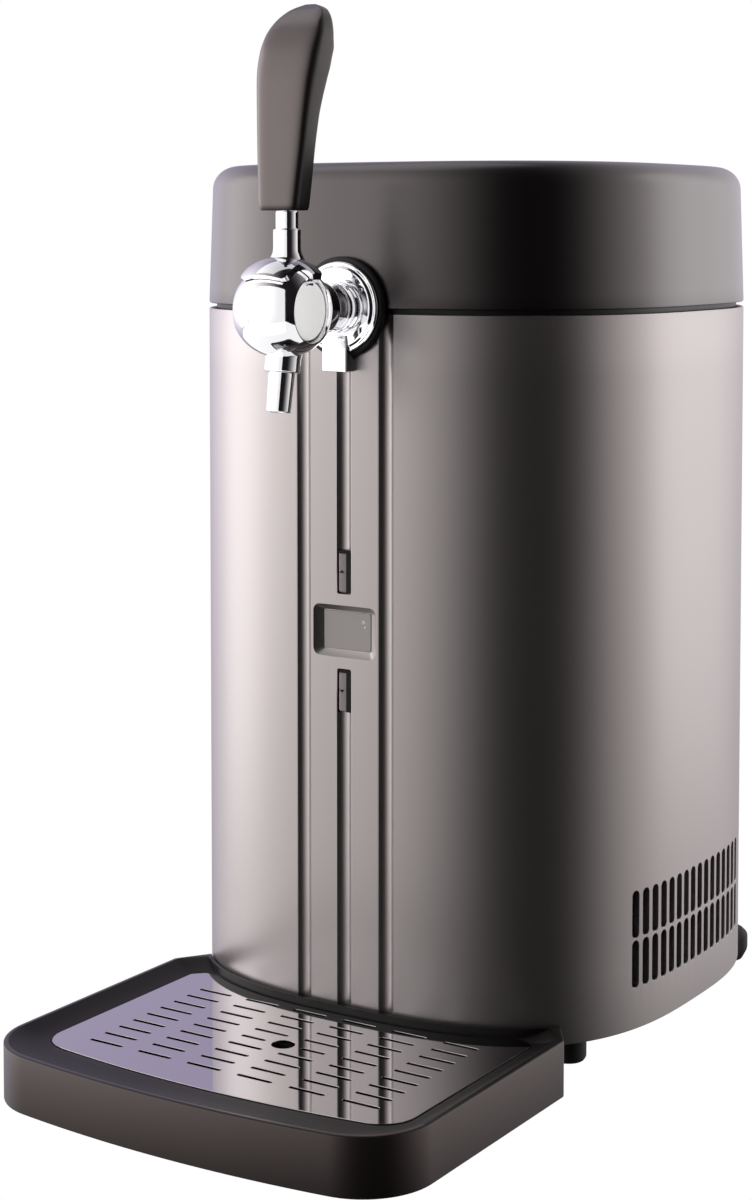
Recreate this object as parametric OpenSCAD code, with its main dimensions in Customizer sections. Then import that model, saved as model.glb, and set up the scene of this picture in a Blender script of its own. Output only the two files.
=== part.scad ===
// Mini keg beer dispenser: a cooled cabinet for a 5 litre keg, with a lift-off lid, a lever tap on the
// front, a push-button control strip and a loose drip tray.
// Front faces -Y, +X is to the right as seen from the front, Z = 0 is the worktop.

/* [Cabinet] */
// Width of the cabinet, side to side
cabinet_w = 272; // [256:1:300]
// Depth of the cabinet, front to back
cabinet_d = 275.6; // [262:0.2:300]
// Squareness of the plan: 2 is an ellipse, more is squarer
squareness = 2.86; // [2.6:0.02:3.4]
// Thickness of the moulded cabinet wall
wall = 3.5; // [3:0.1:4.5]
// Height of the cabinet's lower edge above the worktop
skirt_h = 18; // [14:0.5:24]
// Height of the seam between cabinet and lid
seam_h = 390.2; // [386:0.1:410]
// Open gap at the seam
seam_gap = 2.6; // [1.6:0.1:4]

/* [Front channels] */
// Width of each upright channel
channel_w = 8.6; // [7.8:0.1:10]
// Depth of each channel
channel_depth = 2.3; // [1.2:0.1:2.6]
// Distance between channels
channel_pitch = 25.3; // [24:0.1:30]

/* [Display and buttons] */
// Height of the display's centre
display_z = 224.5; // [215:0.5:240]
// Width of the display glass
display_w = 29; // [24:0.5:34]
// Height of the display glass
display_h = 20; // [16:0.5:22]
// Sloped edge round the display
display_bevel = 4.6; // [2:0.1:5]
// Depth of the display glass below the cabinet's front
display_depth = 3.2; // [2.4:0.1:3.4]
// Length of a button
button_len = 21.6; // [16:0.2:24]
// Width of a button
button_w = 7; // [5:0.1:7.4]
// Height of a button's centre above or below the display's centre
button_offset = 31; // [29:0.5:36]
// Travel of a button
button_travel = 1; // [0.5:0.1:1.5]

/* [Vents] */
// Vent slots in a row
vent_count = 16; // [8:1:18]
// Distance between vent slots
vent_pitch = 8.35; // [7.5:0.05:9]
// Width of a vent slot
vent_w = 5; // [3:0.1:6]
// Length of a vent slot
vent_len = 24.5; // [16:0.5:28]
// Height of the lowest slots' lower ends
vent_z = 40; // [34:0.5:50]
// Solid bar between the two rows of slots
vent_bar = 1.6; // [1:0.1:4]

/* [Lid] */
// Height of the lid above the seam
lid_h = 76.1; // [70:0.1:90]
// Inward lean of the lid's side over its height
lid_draft = 2.4; // [0:0.1:5]
// Radius of the lid's top edge
lid_edge_r = 12; // [6:0.5:18]
// Thickness of the lid's cover
lid_wall = 2.6; // [2:0.1:3.4]
// Thickness of the foam under the lid's top
lid_foam_t = 25; // [15:0.5:30]

/* [Keg well] */
// Diameter of the keg
keg_d = 172; // [160:0.5:174]
// Room round the keg
keg_gap = 4; // [2:0.1:6]
// Height of the well's floor above the worktop
well_floor_h = 100; // [98:0.5:110]
// Thickness of the aluminium well
well_wall = 1.5; // [1:0.1:2.5]

/* [Tap] */
// Height of the tap's axis above the seam
tap_rise = 1.8; // [0:0.1:3]
// Distance from the cabinet's front to the barrel's axis
tap_reach = 54.7; // [50:0.1:60]
// Radius of the barrel
barrel_r = 23.8; // [22:0.1:25]
// Width of the barrel
barrel_w = 36.5; // [35:0.5:38]
// Radius of the flange
flange_r = 23.5; // [21:0.1:26]
// Radius of the rubber ring behind the flange
tap_ring_r = 26; // [24:0.1:29]
// Radius of the threaded shank
shank_r = 9.5; // [8.5:0.1:10]
// Radius of the pivot pin
pivot_r = 3; // [2.5:0.1:3.5]
// Lean of the spout towards the front
spout_lean = 9; // [0:0.5:12]
// Distance from the barrel's axis to the spout's end
spout_len = 50.8; // [45:0.1:60]
// Travel of the valve rod
valve_travel = 2.5; // [1.5:0.1:2.6]

/* [Lever] */
// Height of the handle's lower end above the barrel's axis
handle_z = 49; // [46:0.5:60]
// Height of the handle
handle_h = 102.5; // [90:0.5:115]
// Greatest width of the handle
handle_w = 35.4; // [28:0.2:40]
// Greatest thickness of the handle
handle_t = 19.2; // [16:0.2:24]

// How far the stem and the spout stand behind the barrel's axis
stem_back = 4; // [0:0.5:5]

/* [Drip tray] */
// How far each side of the tray lies inside the cabinet's side
tray_inset = 14.1; // [10:0.1:20]
// Distance from the cabinet's front to the tray's front
tray_depth = 155.4; // [150:0.1:175]
// Height of the tray's rim
tray_h = 28.8; // [27:0.2:34]
// Radius of the tray's front corners
tray_corner_r = 37; // [28:0.5:45]
// Radius of the tray's bowed front
tray_bow_r = 671; // [500:1:900]
// Wall thickness of the tray
tray_wall = 2.5; // [2:0.1:3]
// Width of the rim at the tray's front
front_rim = 29.8; // [24:0.2:34]
// Width of the rim at the tray's sides
side_rim = 15.9; // [12:0.1:18]
// Thickness of the steel plate
plate_t = 1.2; // [0.8:0.1:2]
// Depth of the plate's top below the rim
plate_drop = 4.6; // [3:0.1:6]
// Length of a drain slot
slot_len = 20; // [14:0.5:22]
// Width of a drain slot
slot_w = 2; // [1.2:0.1:3]
// Distance between columns of drain slots
slot_col_pitch = 30.4; // [28:0.1:31]
// Distance between rows of drain slots
slot_row_pitch = 11.45; // [9:0.05:11.6]
// Radius of the plate's finger hole
finger_r = 6; // [5:0.1:8]

/* [Feet] */
// Radius of a front foot
foot_r = 9.8; // [8:0.1:12]
// Side distance of the front feet from the middle
foot_x = 98; // [90:0.5:100]
// Distance of the front feet in front of the cabinet's axis
foot_y = 75; // [60:0.5:78]

/* [Cooling] */
// Side of the square fan
fan_side = 80; // [70:1:84]
// Thickness of the fan
fan_t = 22; // [15:0.5:24]
// Side of the square heatsink
sink_side = 100; // [80:1:100]
// Side of the square cooling module
module_side = 40; // [30:0.5:40]
// Side of the square cold block
block_side = 60; // [58:0.5:70]

/* [Gas supply] */
// Radius of the gas cartridge
cartridge_r = 11; // [9:0.1:11.2]
// Distance of the corner pockets' middles inside the ring's corners
pocket_margin = 29.7; // [28:0.1:31]

/* [Hidden] */

$fn = 64;
plan_steps = 96;           // sides of the plan's outline
hull_fn = 32;
fit = 0.3;                 // room between neighbouring pieces
run_fit = 0.05;            // room round a turning shaft
cut = 1;                   // how far a cut runs past a face

half_w = cabinet_w / 2;
half_d = cabinet_d / 2;
front = -half_d;
inlet_flange_t = 1.6;
axis_y = (tray_depth - inlet_flange_t) / 2;  // puts the origin under the middle of the whole object
corner_angle = 45;

// Heights, from the worktop up
pan_t = 3;
pan_top = skirt_h + pan_t;
fan_gap = 2.5;
fan_z = pan_top + fan_gap;
fin_z = fan_z + fan_t + 1.5;
sink_base_t = 5;
module_t = 3.6;
well_under = well_floor_h - well_wall;
block_t = 15;
module_z = well_under - block_t - module_t;
sink_z = module_z - sink_base_t;
foam_z = module_z + 2;
shell_top = seam_h - seam_gap / 2;
ring_t = 4;
ring_z = shell_top - ring_t;
lid_z = seam_h + seam_gap / 2;
lid_top = seam_h + lid_h;
tap_z = seam_h + tap_rise;
barrel_y = front - tap_reach;
plate_top = tray_h - plate_drop;
plate_z = plate_top - plate_t;

well_r = keg_d / 2 + keg_gap;
well_out = well_r + well_wall;
well_lip = well_out + 4.5;
ring_inset = wall + fit;
collar_t = 2.5;
collar_h = 8.3;
liner_inset = ring_inset + collar_t + 0.9;
liner_t = 2;
liner_foot = 5;
liner_top = lid_top - lid_wall - lid_foam_t;
post_r = 5;
screw_r = 1.5;

// ---- plan of the cabinet -------------------------------------------------------------------------

function plan_r(a, inset) = pow(pow(abs(cos(a)) / (half_w - inset), squareness)
    + pow(abs(sin(a)) / (half_d - inset), squareness), -1 / squareness);
function plan_points(inset) = [for (i = [0:plan_steps - 1]) let (a = 360 * i / plan_steps)
    plan_r(a, inset) * [cos(a), sin(a)]];
// Y of the front of the plan at x, and X of its side at y
function front_y(x, inset) = -(half_d - inset)
    * pow(1 - pow(min(1, abs(x) / (half_w - inset)), squareness), 1 / squareness);
function side_x(y, inset) = (half_w - inset)
    * pow(1 - pow(min(1, abs(y) / (half_d - inset)), squareness), 1 / squareness);

module on_axis() translate([0, axis_y, 0]) children();
module slab(inset, z0, z1) translate([0, 0, z0]) linear_extrude(z1 - z0) polygon(plan_points(inset));
module band(inset, t, z0, z1) difference() {
    slab(inset, z0, z1);
    slab(inset + t, z0 - cut, z1 + cut);
}
module bar_y(r, y0, y1) translate([0, y0, 0]) rotate([-90, 0, 0]) cylinder(r = r, h = y1 - y0);
module bar_x(r, x0, x1) translate([x0, 0, 0]) rotate([0, 90, 0]) cylinder(r = r, h = x1 - x0);
module tube(r, bore, z0, z1) translate([0, 0, z0]) difference() {
    cylinder(r = r, h = z1 - z0);
    translate([0, 0, -cut]) cylinder(r = bore, h = z1 - z0 + 2 * cut);
}
module box_at(size, z0, z1) translate([-size.x / 2, -size.y / 2, z0]) cube([size.x, size.y, z1 - z0]);
module corners(x, y) for (sx = [-1, 1], sy = [-1, 1]) translate([sx * x, sy * y, 0]) children();
// A screw pointing up, with its head below z0
module screw(r, z0, len, head_r, head_t) translate([0, 0, z0]) {
    cylinder(r = r, h = len);
    translate([0, 0, -head_t]) cylinder(r = head_r, h = head_t);
}

// ---- lofts and tubes -----------------------------------------------------------------------------

// A closed skin over rings of as many points each, which run anticlockwise seen from the last ring
module loft(rings) {
    n = len(rings[0]);
    m = len(rings);
    sides = [for (j = [0:m - 2], i = [0:n - 1]) let (a = j * n + i, b = j * n + (i + 1) % n)
        each [[a, a + n, b + n], [a, b + n, b]]];
    ends = [[for (i = [0:n - 1]) i], [for (i = [n - 1:-1:0]) (m - 1) * n + i]];
    polyhedron([for (ring = rings, p = ring) p], concat(sides, ends));
}
function lifted(points, z) = [for (p = points) [p.x, p.y, z]];
function unit(v) = v / norm(v);
function curve_point(a, b, c, d, t) = 0.5 * (2 * b + (c - a) * t + (2 * a - 5 * b + 4 * c - d) * t * t
    + (3 * b - a - 3 * c + d) * t * t * t);
// A smooth route through the points of a rough one
function smooth(route, steps) = let (last = len(route) - 1) concat(
    [for (i = [0:last - 1], j = [0:steps - 1]) curve_point(route[max(i - 1, 0)], route[i],
        route[i + 1], route[min(i + 2, last)], j / steps)], [route[last]]);
module swept_tube(path, r, sides, aside) {
    last = len(path) - 1;
    loft([for (i = [0:last]) let (
        t = unit(path[min(i + 1, last)] - path[max(i - 1, 0)]),
        s = unit(cross(aside, t)),
        u = cross(t, s))
        [for (k = [0:sides - 1]) path[i] + r * (cos(360 * k / sides) * s + sin(360 * k / sides) * u)]]);
}

// ---- cabinet -------------------------------------------------------------------------------------

channel_r = (pow(channel_w / 2, 2) + pow(channel_depth, 2)) / (2 * channel_depth);
post_reach = plan_r(corner_angle, wall) - post_r + 1.5;
post_x = post_reach * cos(corner_angle);
post_y = post_reach * sin(corner_angle);
glass_t = 1.4;
glass_y = front + display_depth;
board_t = 1.6;
board_y = front + 11.8;
board_len = 2 * button_offset + button_len + 26;
board_w = 28;
board_screw_z = board_len / 2 - 5;
board_post_r = 3.5;
inlet_w = 28;
inlet_h = 20.5;
inlet_z = 46;
rear_vent_count = 11;
rear_vent_z = inlet_z + inlet_h / 2 + 14;
vent_reach = max(half_w, half_d) + 5;

module vent_rows(count, z) for (i = [0:count - 1], row = [0, 1])
    translate([(i - (count - 1) / 2) * vent_pitch, 0, z + vent_w / 2 + row * (vent_len + vent_bar)]) {
        for (end = [0, vent_len - vent_w]) translate([0, 0, end]) bar_y(vent_w / 2, -vent_reach, vent_reach);
        translate([-vent_w / 2, -vent_reach, 0]) cube([vent_w, 2 * vent_reach, vent_len - vent_w]);
    }
module rounded_window(w, h, r, y0, y1) hull() for (sx = [-1, 1], sz = [-1, 1])
    translate([sx * (w / 2 - r), 0, sz * (h / 2 - r)]) bar_y(r, y0, y1, $fn = hull_fn);
module shank_cradle() translate([0, 0, tap_z]) bar_y(shank_r + fit, front - 5, front + 30);
module inlet_screw_places() for (s = [-1, 1]) translate([s * (inlet_w / 2 + 6), 0, inlet_z]) children();

module cabinet_shell() on_axis() color([0.42, 0.39, 0.38]) difference() {
    union() {
        band(0, wall, skirt_h, shell_top);
        intersection() {
            slab(wall / 2, skirt_h, shell_top);
            corners(post_x, post_y) hollow_post();
        }
        for (s = [-1, 1]) translate([0, 0, display_z + s * board_screw_z])
            bar_y(board_post_r, front + wall - 0.5, board_y);
    }
    for (k = [-1:1]) translate([k * channel_pitch, front_y(k * channel_pitch, 0) - channel_r
        + channel_depth, skirt_h - cut]) cylinder(r = channel_r, h = shell_top);
    translate([0, 0, display_z]) hull() {
        rounded_window(display_w + 2 * display_bevel, display_h + 1.4 * display_bevel, 4,
            front - cut, front, $fn = hull_fn);
        rounded_window(display_w + 1, display_h + 1, 2, front + wall - fit, front + wall - fit + 0.01,
            $fn = hull_fn);
    }
    translate([-display_w / 2 - fit, front, display_z - display_h / 2 - fit])
        cube([display_w + 2 * fit, wall + cut, display_h + 2 * fit]);
    for (s = [-1, 1]) translate([-button_w / 2 - fit, front - cut, display_z + s * button_offset
        - button_len / 2 - fit]) cube([button_w + 2 * fit, wall + 2 * cut, button_len + 2 * fit]);
    for (s = [-1, 1]) translate([0, 0, display_z + s * board_screw_z])
        bar_y(1.2, front + wall + 1, board_y + cut);
    intersection() {
        rotate(90) vent_rows(vent_count, vent_z);
        translate([-half_w - 5, -half_d, 0]) cube([cabinet_w + 10, cabinet_d, seam_h]);
    }
    intersection() {
        vent_rows(rear_vent_count, rear_vent_z);
        translate([-half_w, half_d / 2, 0]) cube([cabinet_w, half_d, seam_h]);
    }
    translate([-inlet_w / 2 - fit, half_d - wall - cut, inlet_z - inlet_h / 2 - fit])
        cube([inlet_w + 2 * fit, wall + 2 * cut, inlet_h + 2 * fit]);
    inlet_screw_places() bar_y(screw_r + 0.1, half_d - wall - cut, half_d + cut);
    shank_cradle();
}
module hollow_post() tube(post_r, 1.3, pan_top + fit, foam_z);

pocket_reach = plan_r(corner_angle, ring_inset) - pocket_margin;
sleeve_r = cartridge_r + 2.6;
sleeve_len = 102;
tube_len = 232;                      // length of the coupler's tube below the ring
tube_r = 4;
module pocket_places(side) rotate(90 - side * corner_angle) translate([pocket_reach, 0, 0]) children();
boss_half = 20;
boss_y = front + 16.5;
nut_room = 15;

module top_ring() on_axis() color([0.08, 0.08, 0.085]) difference() {
    union() {
        slab(ring_inset, ring_z, shell_top);
        band(ring_inset, collar_t, ring_z, shell_top + collar_h);
        intersection() {
            slab(ring_inset, ring_z - 22, shell_top);
            translate([-boss_half, front, ring_z - 22]) cube([2 * boss_half, boss_y - front, 30]);
        }
    }
    translate([0, 0, ring_z - cut]) cylinder(r = well_r, h = ring_t + 2 * cut);
    translate([0, 0, tap_z]) bar_y(shank_r + fit, front - 5, boss_y + 5);
    translate([-shank_r - fit, front - 5, tap_z]) cube([2 * (shank_r + fit), boss_y - front + 10, 40]);
    translate([-nut_room, boss_y, ring_z - cut]) cube([2 * nut_room, -well_r - boss_y + 4, ring_t + 2 * cut]);
    for (side = [-1, 1]) pocket_places(side) translate([0, 0, ring_z - cut])
        cylinder(r = sleeve_r + fit, h = ring_t + 2 * cut);
}

module keg_well() on_axis() color([0.78, 0.79, 0.8]) {
    tube(well_out, well_r, well_under, ring_z);
    translate([0, 0, well_under]) cylinder(r = well_r + well_wall / 2, h = well_wall);
    tube(well_lip, well_r, ring_z - well_wall, ring_z);
}

board_pocket_w = board_w + 8;
board_pocket_y = board_y + board_t + 7;
loom_slot = 18;
module foam_jacket() on_axis() color([0.93, 0.9, 0.8]) difference() {
    slab(wall + fit, foam_z, ring_z);
    translate([0, 0, well_under]) cylinder(r = well_out + 0.1, h = ring_z);
    translate([0, 0, ring_z - well_wall - 0.1]) cylinder(r = well_lip + 0.1, h = 10);
    box_at([block_side + 1, block_side + 1], foam_z - cut, well_under + cut);
    translate([-board_pocket_w / 2, front, display_z - board_len / 2 - 3])
        cube([board_pocket_w, board_pocket_y - front, board_len + 6]);
    translate([-loom_slot / 2, front, foam_z - cut]) cube([loom_slot, board_pocket_y - front, display_z - foam_z]);
    translate([-boss_half - fit, front, ring_z - 22 - fit])
        cube([2 * (boss_half + fit), boss_y - front + fit, 30]);
    translate([-nut_room, boss_y, tap_z - nut_room]) cube([2 * nut_room, -well_out - boss_y, 30]);
    for (side = [-1, 1]) pocket_places(side) translate([0, 0, ring_z - sleeve_len - 8])
        cylinder(r = sleeve_r + fit, h = sleeve_len + 20);
    pocket_places(-1) translate([0, 0, ring_z - tube_len - 8]) cylinder(r = tube_r + 2, h = tube_len + 8);
}

heel_r = 12;
heel_x = half_w - 38.5;
heel_y = half_d + inlet_flange_t - heel_r;
heel_in_x = half_w - 52;
heel_in_y = half_d - 45.8;
foot_core_r = 3.4;         // the bearing part of the head in its counterbore
pan_skirt_h = 10;
pan_head_r = 3;
pan_head_t = 1.8;
fan_hole = fan_side / 2 - 4.25;
board_x = 104;
board_d = 52;
power_y = half_d - wall - 15 - board_d / 2;
power_post_h = 5;
module foot_places() {
    for (s = [-1, 1]) translate([s * foot_x, -foot_y, 0]) children();
    for (s = [-1, 1]) translate([s * heel_in_x, heel_in_y, 0]) children();
}

module base_pan() on_axis() color([0.1, 0.1, 0.105]) difference() {
    union() {
        slab(wall + fit, skirt_h, pan_top);
        band(wall + fit, 2, skirt_h, pan_top + pan_skirt_h);
        foot_places() translate([0, 0, skirt_h]) cylinder(r = 5.5, h = 11);
        corners(fan_hole, fan_hole) translate([0, 0, skirt_h]) cylinder(r = 4, h = pan_t + fan_gap);
        translate([0, power_y, 0]) corners(board_x / 2 - 5, board_d / 2 - 5)
            translate([0, 0, skirt_h]) cylinder(r = 3.2, h = pan_t + power_post_h);
    }
    corners(post_x, post_y) {
        translate([0, 0, pan_top]) cylinder(r = post_r + fit, h = pan_skirt_h + cut);
        translate([0, 0, skirt_h - cut]) cylinder(r = screw_r + fit, h = pan_t + 2 * cut);
        translate([0, 0, skirt_h - cut]) cylinder(r = pan_head_r + 0.1, h = pan_head_t + cut);
    }
    foot_places() translate([0, 0, skirt_h - cut]) cylinder(r = screw_r, h = 13);
    corners(fan_hole, fan_hole) translate([0, 0, skirt_h - cut])
        cylinder(r = screw_r + fit, h = pan_t + fan_gap + 2 * cut);
    intersection() {
        translate([0, 0, skirt_h - cut]) cylinder(r = fan_side / 2 - 4, h = pan_t + 2 * cut);
        for (k = [-4:4]) translate([-fan_side / 2, k * 8 - 2.5, skirt_h - cut])
            cube([fan_side, 5, pan_t + 2 * cut]);
    }
}

foot_bore = 1.8;
module foot_holes() {
    translate([0, 0, -cut]) cylinder(r = foot_bore, h = skirt_h + 2 * cut);
    translate([0, 0, -cut]) cylinder(r = 4.2, h = 7);
}
module front_feet() on_axis() color([0.06, 0.06, 0.065]) for (s = [-1, 1])
    translate([s * foot_x, -foot_y, 0]) difference() {
        union() {
            cylinder(r1 = foot_r - 1.6, r2 = foot_r, h = 2);
            translate([0, 0, 2]) cylinder(r = foot_r, h = skirt_h - 2);
        }
        foot_holes();
    }
module heel(r, z, h) {
    translate([heel_in_x, heel_in_y, z]) cylinder(r = r - 1, h = h, $fn = hull_fn);
    translate([heel_x, heel_y, z]) cylinder(r = r, h = h, $fn = hull_fn);
}
module rear_feet() on_axis() color([0.06, 0.06, 0.065]) for (s = [0, 1]) mirror([s, 0, 0]) difference() {
    hull() {
        heel(heel_r - 3, 0, 0.5);
        heel(heel_r, 6, skirt_h - 9);
        heel(heel_r - 3, skirt_h - 0.5, 0.5);
    }
    translate([heel_in_x, heel_in_y, 0]) foot_holes();
}
module foot_screws() on_axis() color([0.7, 0.7, 0.72]) foot_places() screw(screw_r, 6, skirt_h + 1, foot_core_r, 2.2);
module pan_screws() on_axis() color([0.7, 0.7, 0.72]) corners(post_x, post_y)
    screw(1.3, skirt_h + pan_head_t, 12, pan_head_r, pan_head_t);

// ---- cooling under the well ----------------------------------------------------------------------

sink_screw = block_side / 2 - 6.5;
fin_t = 1.6;
fin_count = 13;
module cold_block() on_axis() color([0.82, 0.83, 0.84]) difference() {
    box_at([block_side, block_side], module_z + module_t, well_under);
    corners(sink_screw, sink_screw) translate([0, 0, module_z]) cylinder(r = screw_r, h = 13);
}
module cooling_module() on_axis() color([0.95, 0.95, 0.93]) difference() {
    box_at([module_side, module_side], module_z, module_z + module_t);
    difference() {
        box_at([module_side + 2, module_side + 2], module_z + 0.9, module_z + module_t - 0.9);
        box_at([module_side - 1.6, module_side - 1.6], module_z, module_z + module_t);
    }
}
module heatsink() on_axis() color([0.75, 0.76, 0.78]) difference() {
    union() {
        box_at([sink_side, sink_side], sink_z, module_z);
        for (i = [0:fin_count - 1]) translate([-sink_side / 2 + i * (sink_side - fin_t)
            / (fin_count - 1), -sink_side / 2, fin_z]) cube([fin_t, sink_side, sink_z - fin_z + cut]);
    }
    corners(sink_screw, sink_screw) {
        translate([0, 0, fin_z - cut]) cylinder(r = 4.2, h = sink_z - fin_z + cut);
        translate([0, 0, sink_z - cut]) cylinder(r = screw_r + fit, h = sink_base_t + 2 * cut);
    }
}
module heatsink_screws() on_axis() color([0.7, 0.7, 0.72]) corners(sink_screw, sink_screw)
    screw(screw_r, sink_z, sink_base_t + module_t + 7, 3, 2);

hub_r = fan_side * 0.21;
fan_bore = fan_side / 2 - 1.6;
bearing_r = 4;
shaft_r = 1.5;
fan_top = fan_z + fan_t;
blade_count = 7;
module fan_frame() on_axis() color([0.07, 0.07, 0.075]) {
    difference() {
        box_at([fan_side, fan_side], fan_z, fan_top);
        translate([0, 0, fan_z - cut]) cylinder(r = fan_bore, h = fan_t + 2 * cut);
        corners(fan_hole, fan_hole) translate([0, 0, fan_z - cut])
            cylinder(r = screw_r, h = fan_t + 2 * cut);
    }
    difference() {
        union() {
            translate([0, 0, fan_z]) cylinder(r = hub_r, h = 3);
            for (a = [45:90:315]) rotate(a) translate([hub_r - 2, -1.5, fan_z])
                cube([fan_bore - hub_r + 3, 3, 3]);
            translate([0, 0, fan_z]) cylinder(r = bearing_r, h = fan_t - 6);
        }
        translate([0, 0, fan_z - cut]) cylinder(r = shaft_r + run_fit, h = fan_t);
    }
}
module fan_rotor() on_axis() color([0.12, 0.12, 0.13]) {
    tube(hub_r, hub_r - 1.6, fan_z + 5, fan_top - 1);
    translate([0, 0, fan_top - 3]) cylinder(r = hub_r, h = 2);
    translate([0, 0, fan_z + 1]) cylinder(r = shaft_r, h = fan_t - 3);
    for (i = [0:blade_count - 1]) rotate(i * 360 / blade_count)
        translate([(hub_r + fan_bore - 2.2) / 2, 0, fan_z + fan_t / 2 + 2]) rotate([38, 0, 0])
            cube([fan_bore - hub_r - 1, 15, 1.4], center = true);
}
module fan_screws() on_axis() color([0.7, 0.7, 0.72]) corners(fan_hole, fan_hole)
    screw(screw_r - 0.1, skirt_h, pan_t + fan_gap + 12, 2.8, 1.6);

// ---- power and control ---------------------------------------------------------------------------

power_z = pan_top + power_post_h;
parts_z = power_z + board_t;
module power_board() on_axis() color([0.1, 0.32, 0.2])
    translate([0, power_y, 0]) box_at([board_x, board_d], power_z, parts_z);
coil_w = 32;
coil_d = 28;
coil_h = 24;
coil_end_t = 5;
module transformer() on_axis() color([0.8, 0.68, 0.25]) translate([board_x / 4 + 2, power_y - 2, 0]) {
    box_at([coil_w, coil_d], parts_z, parts_z + coil_end_t);
    box_at([coil_w - 6, coil_d - 6], parts_z + coil_end_t, parts_z + coil_h - coil_end_t);
    box_at([coil_w, coil_d], parts_z + coil_h - coil_end_t, parts_z + coil_h);
}
can_r = 8;
can_h = 20;
module capacitors() on_axis() color([0.15, 0.17, 0.3]) for (k = [0, 1])
    translate([-board_x / 2 + 14 + k * (2 * can_r + 4), power_y - 6, parts_z]) {
        cylinder(r = can_r, h = can_h);
        translate([0, 0, can_h]) cylinder(r1 = can_r, r2 = can_r - 1, h = 1);
    }

inlet_depth = 15;
inlet_head_r = 2.6;
inlet_head_t = 0.8;
module power_inlet() on_axis() color([0.07, 0.07, 0.075]) difference() {
    union() {
        translate([-inlet_w / 2, half_d - inlet_depth, inlet_z - inlet_h / 2])
            cube([inlet_w, inlet_depth + cut, inlet_h]);
        translate([-inlet_w / 2 - 10.5, half_d + 0.05, inlet_z - inlet_h / 2 - 2.5])
            cube([inlet_w + 21, inlet_flange_t - 0.05, inlet_h + 5]);
    }
    translate([-inlet_w / 2 + 1.8, half_d - inlet_depth + 2, inlet_z - inlet_h / 2 + 1.8])
        cube([inlet_w - 3.6, inlet_depth + 2, inlet_h - 3.6]);
    inlet_screw_places() {
        bar_y(screw_r + 0.2, half_d - cut, half_d + inlet_flange_t + cut);
        bar_y(inlet_head_r + 0.1, half_d + inlet_flange_t - inlet_head_t, half_d + inlet_flange_t + cut);
    }
}
module inlet_pins() on_axis() color([0.85, 0.85, 0.86]) for (p = [[-7, -2], [0, 2], [7, -2]])
    translate([p.x - 1, half_d - inlet_depth + 2, inlet_z + p.y - 2]) cube([2, 8, 4]);
module inlet_screws() on_axis() color([0.7, 0.7, 0.72]) inlet_screw_places() {
    bar_y(screw_r, half_d - 7, half_d + inlet_flange_t - inlet_head_t + 0.1);
    bar_y(inlet_head_r, half_d + inlet_flange_t - inlet_head_t, half_d + inlet_flange_t);
}

module control_board() on_axis() color([0.1, 0.32, 0.2]) difference() {
    translate([-board_w / 2, board_y, display_z - board_len / 2]) cube([board_w, board_t, board_len]);
    for (s = [-1, 1]) translate([0, 0, display_z + s * board_screw_z])
        bar_y(screw_r, board_y - cut, board_y + board_t + cut);
}
module control_screws() on_axis() color([0.7, 0.7, 0.72]) for (s = [-1, 1])
    translate([0, 0, display_z + s * board_screw_z]) {
        bar_y(1.2, board_y - 5, board_y + board_t);
        bar_y(2.6, board_y + board_t, board_y + board_t + 1.8);
    }
module display_module() on_axis() color([0.35, 0.38, 0.36])
    translate([-display_w / 2 + 1, glass_y + glass_t, display_z - display_h / 2 + 1])
        cube([display_w - 2, board_y - glass_y - glass_t, display_h - 2]);
module display_glass() on_axis() color([0.5, 0.48, 0.47])
    translate([-display_w / 2, glass_y, display_z - display_h / 2])
        cube([display_w, glass_t, display_h]);

flange_y = front + wall + fit;       // front of a button's flange, behind the cabinet's wall
button_flange_t = 1.2;
switch_tip = board_y - 5.2;
press_gap = 0.1;
module switches() on_axis() color([0.2, 0.2, 0.21]) for (s = [-1, 1])
    translate([0, 0, display_z + s * button_offset]) {
        translate([-3, board_y - 4, -3]) cube([6, 4, 6]);
        bar_y(1.7, switch_tip, board_y - 3.5);
    }
module button(s) translate([0, 0, display_z + s * button_offset]) {
    translate([-button_w / 2, front + 0.2, -button_len / 2])
        cube([button_w, flange_y - front, button_len]);
    translate([-button_w / 2 - 1.2, flange_y, -button_len / 2 - 1.2])
        cube([button_w + 2.4, button_flange_t, button_len + 2.4]);
    bar_y(1.5, flange_y, switch_tip - button_travel - press_gap);
}
module button_up() on_axis() color([0.3, 0.29, 0.29]) button(1);
module button_down() on_axis() color([0.3, 0.29, 0.29]) button(-1);

loom_r = 2.4;
hose_sides = 12;
loom_x = 6.3;
loom_y = board_y + board_t + loom_r + 1;
sink_side_x = sink_side / 2;
loom_route = [[loom_x, loom_y, display_z - board_len / 2 + 22], [loom_x, loom_y, display_z - board_len / 2 - 30],
    [loom_x, loom_y + 0.5, foam_z + 14], [loom_x + 1, loom_y + 2, foam_z - 6], [sink_side_x - 16, loom_y + 15, fan_top + 14],
    [sink_side_x + 12, -sink_side_x - 34, fan_top - 4], [sink_side_x + 18, -sink_side_x + 10, pan_top + 11],
    [sink_side_x + 18, sink_side_x - 30, pan_top + 9], [sink_side_x + 8, sink_side_x + 2, pan_top + 9],
    [board_x / 2 - 8, power_y - board_d / 2 + 3, parts_z + loom_r]];
module wiring_loom() on_axis() color([0.12, 0.12, 0.13]) swept_tube(smooth(loom_route, 5), loom_r, 8, [1, 0.2, 0.1]);

// ---- lid -----------------------------------------------------------------------------------------

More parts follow.
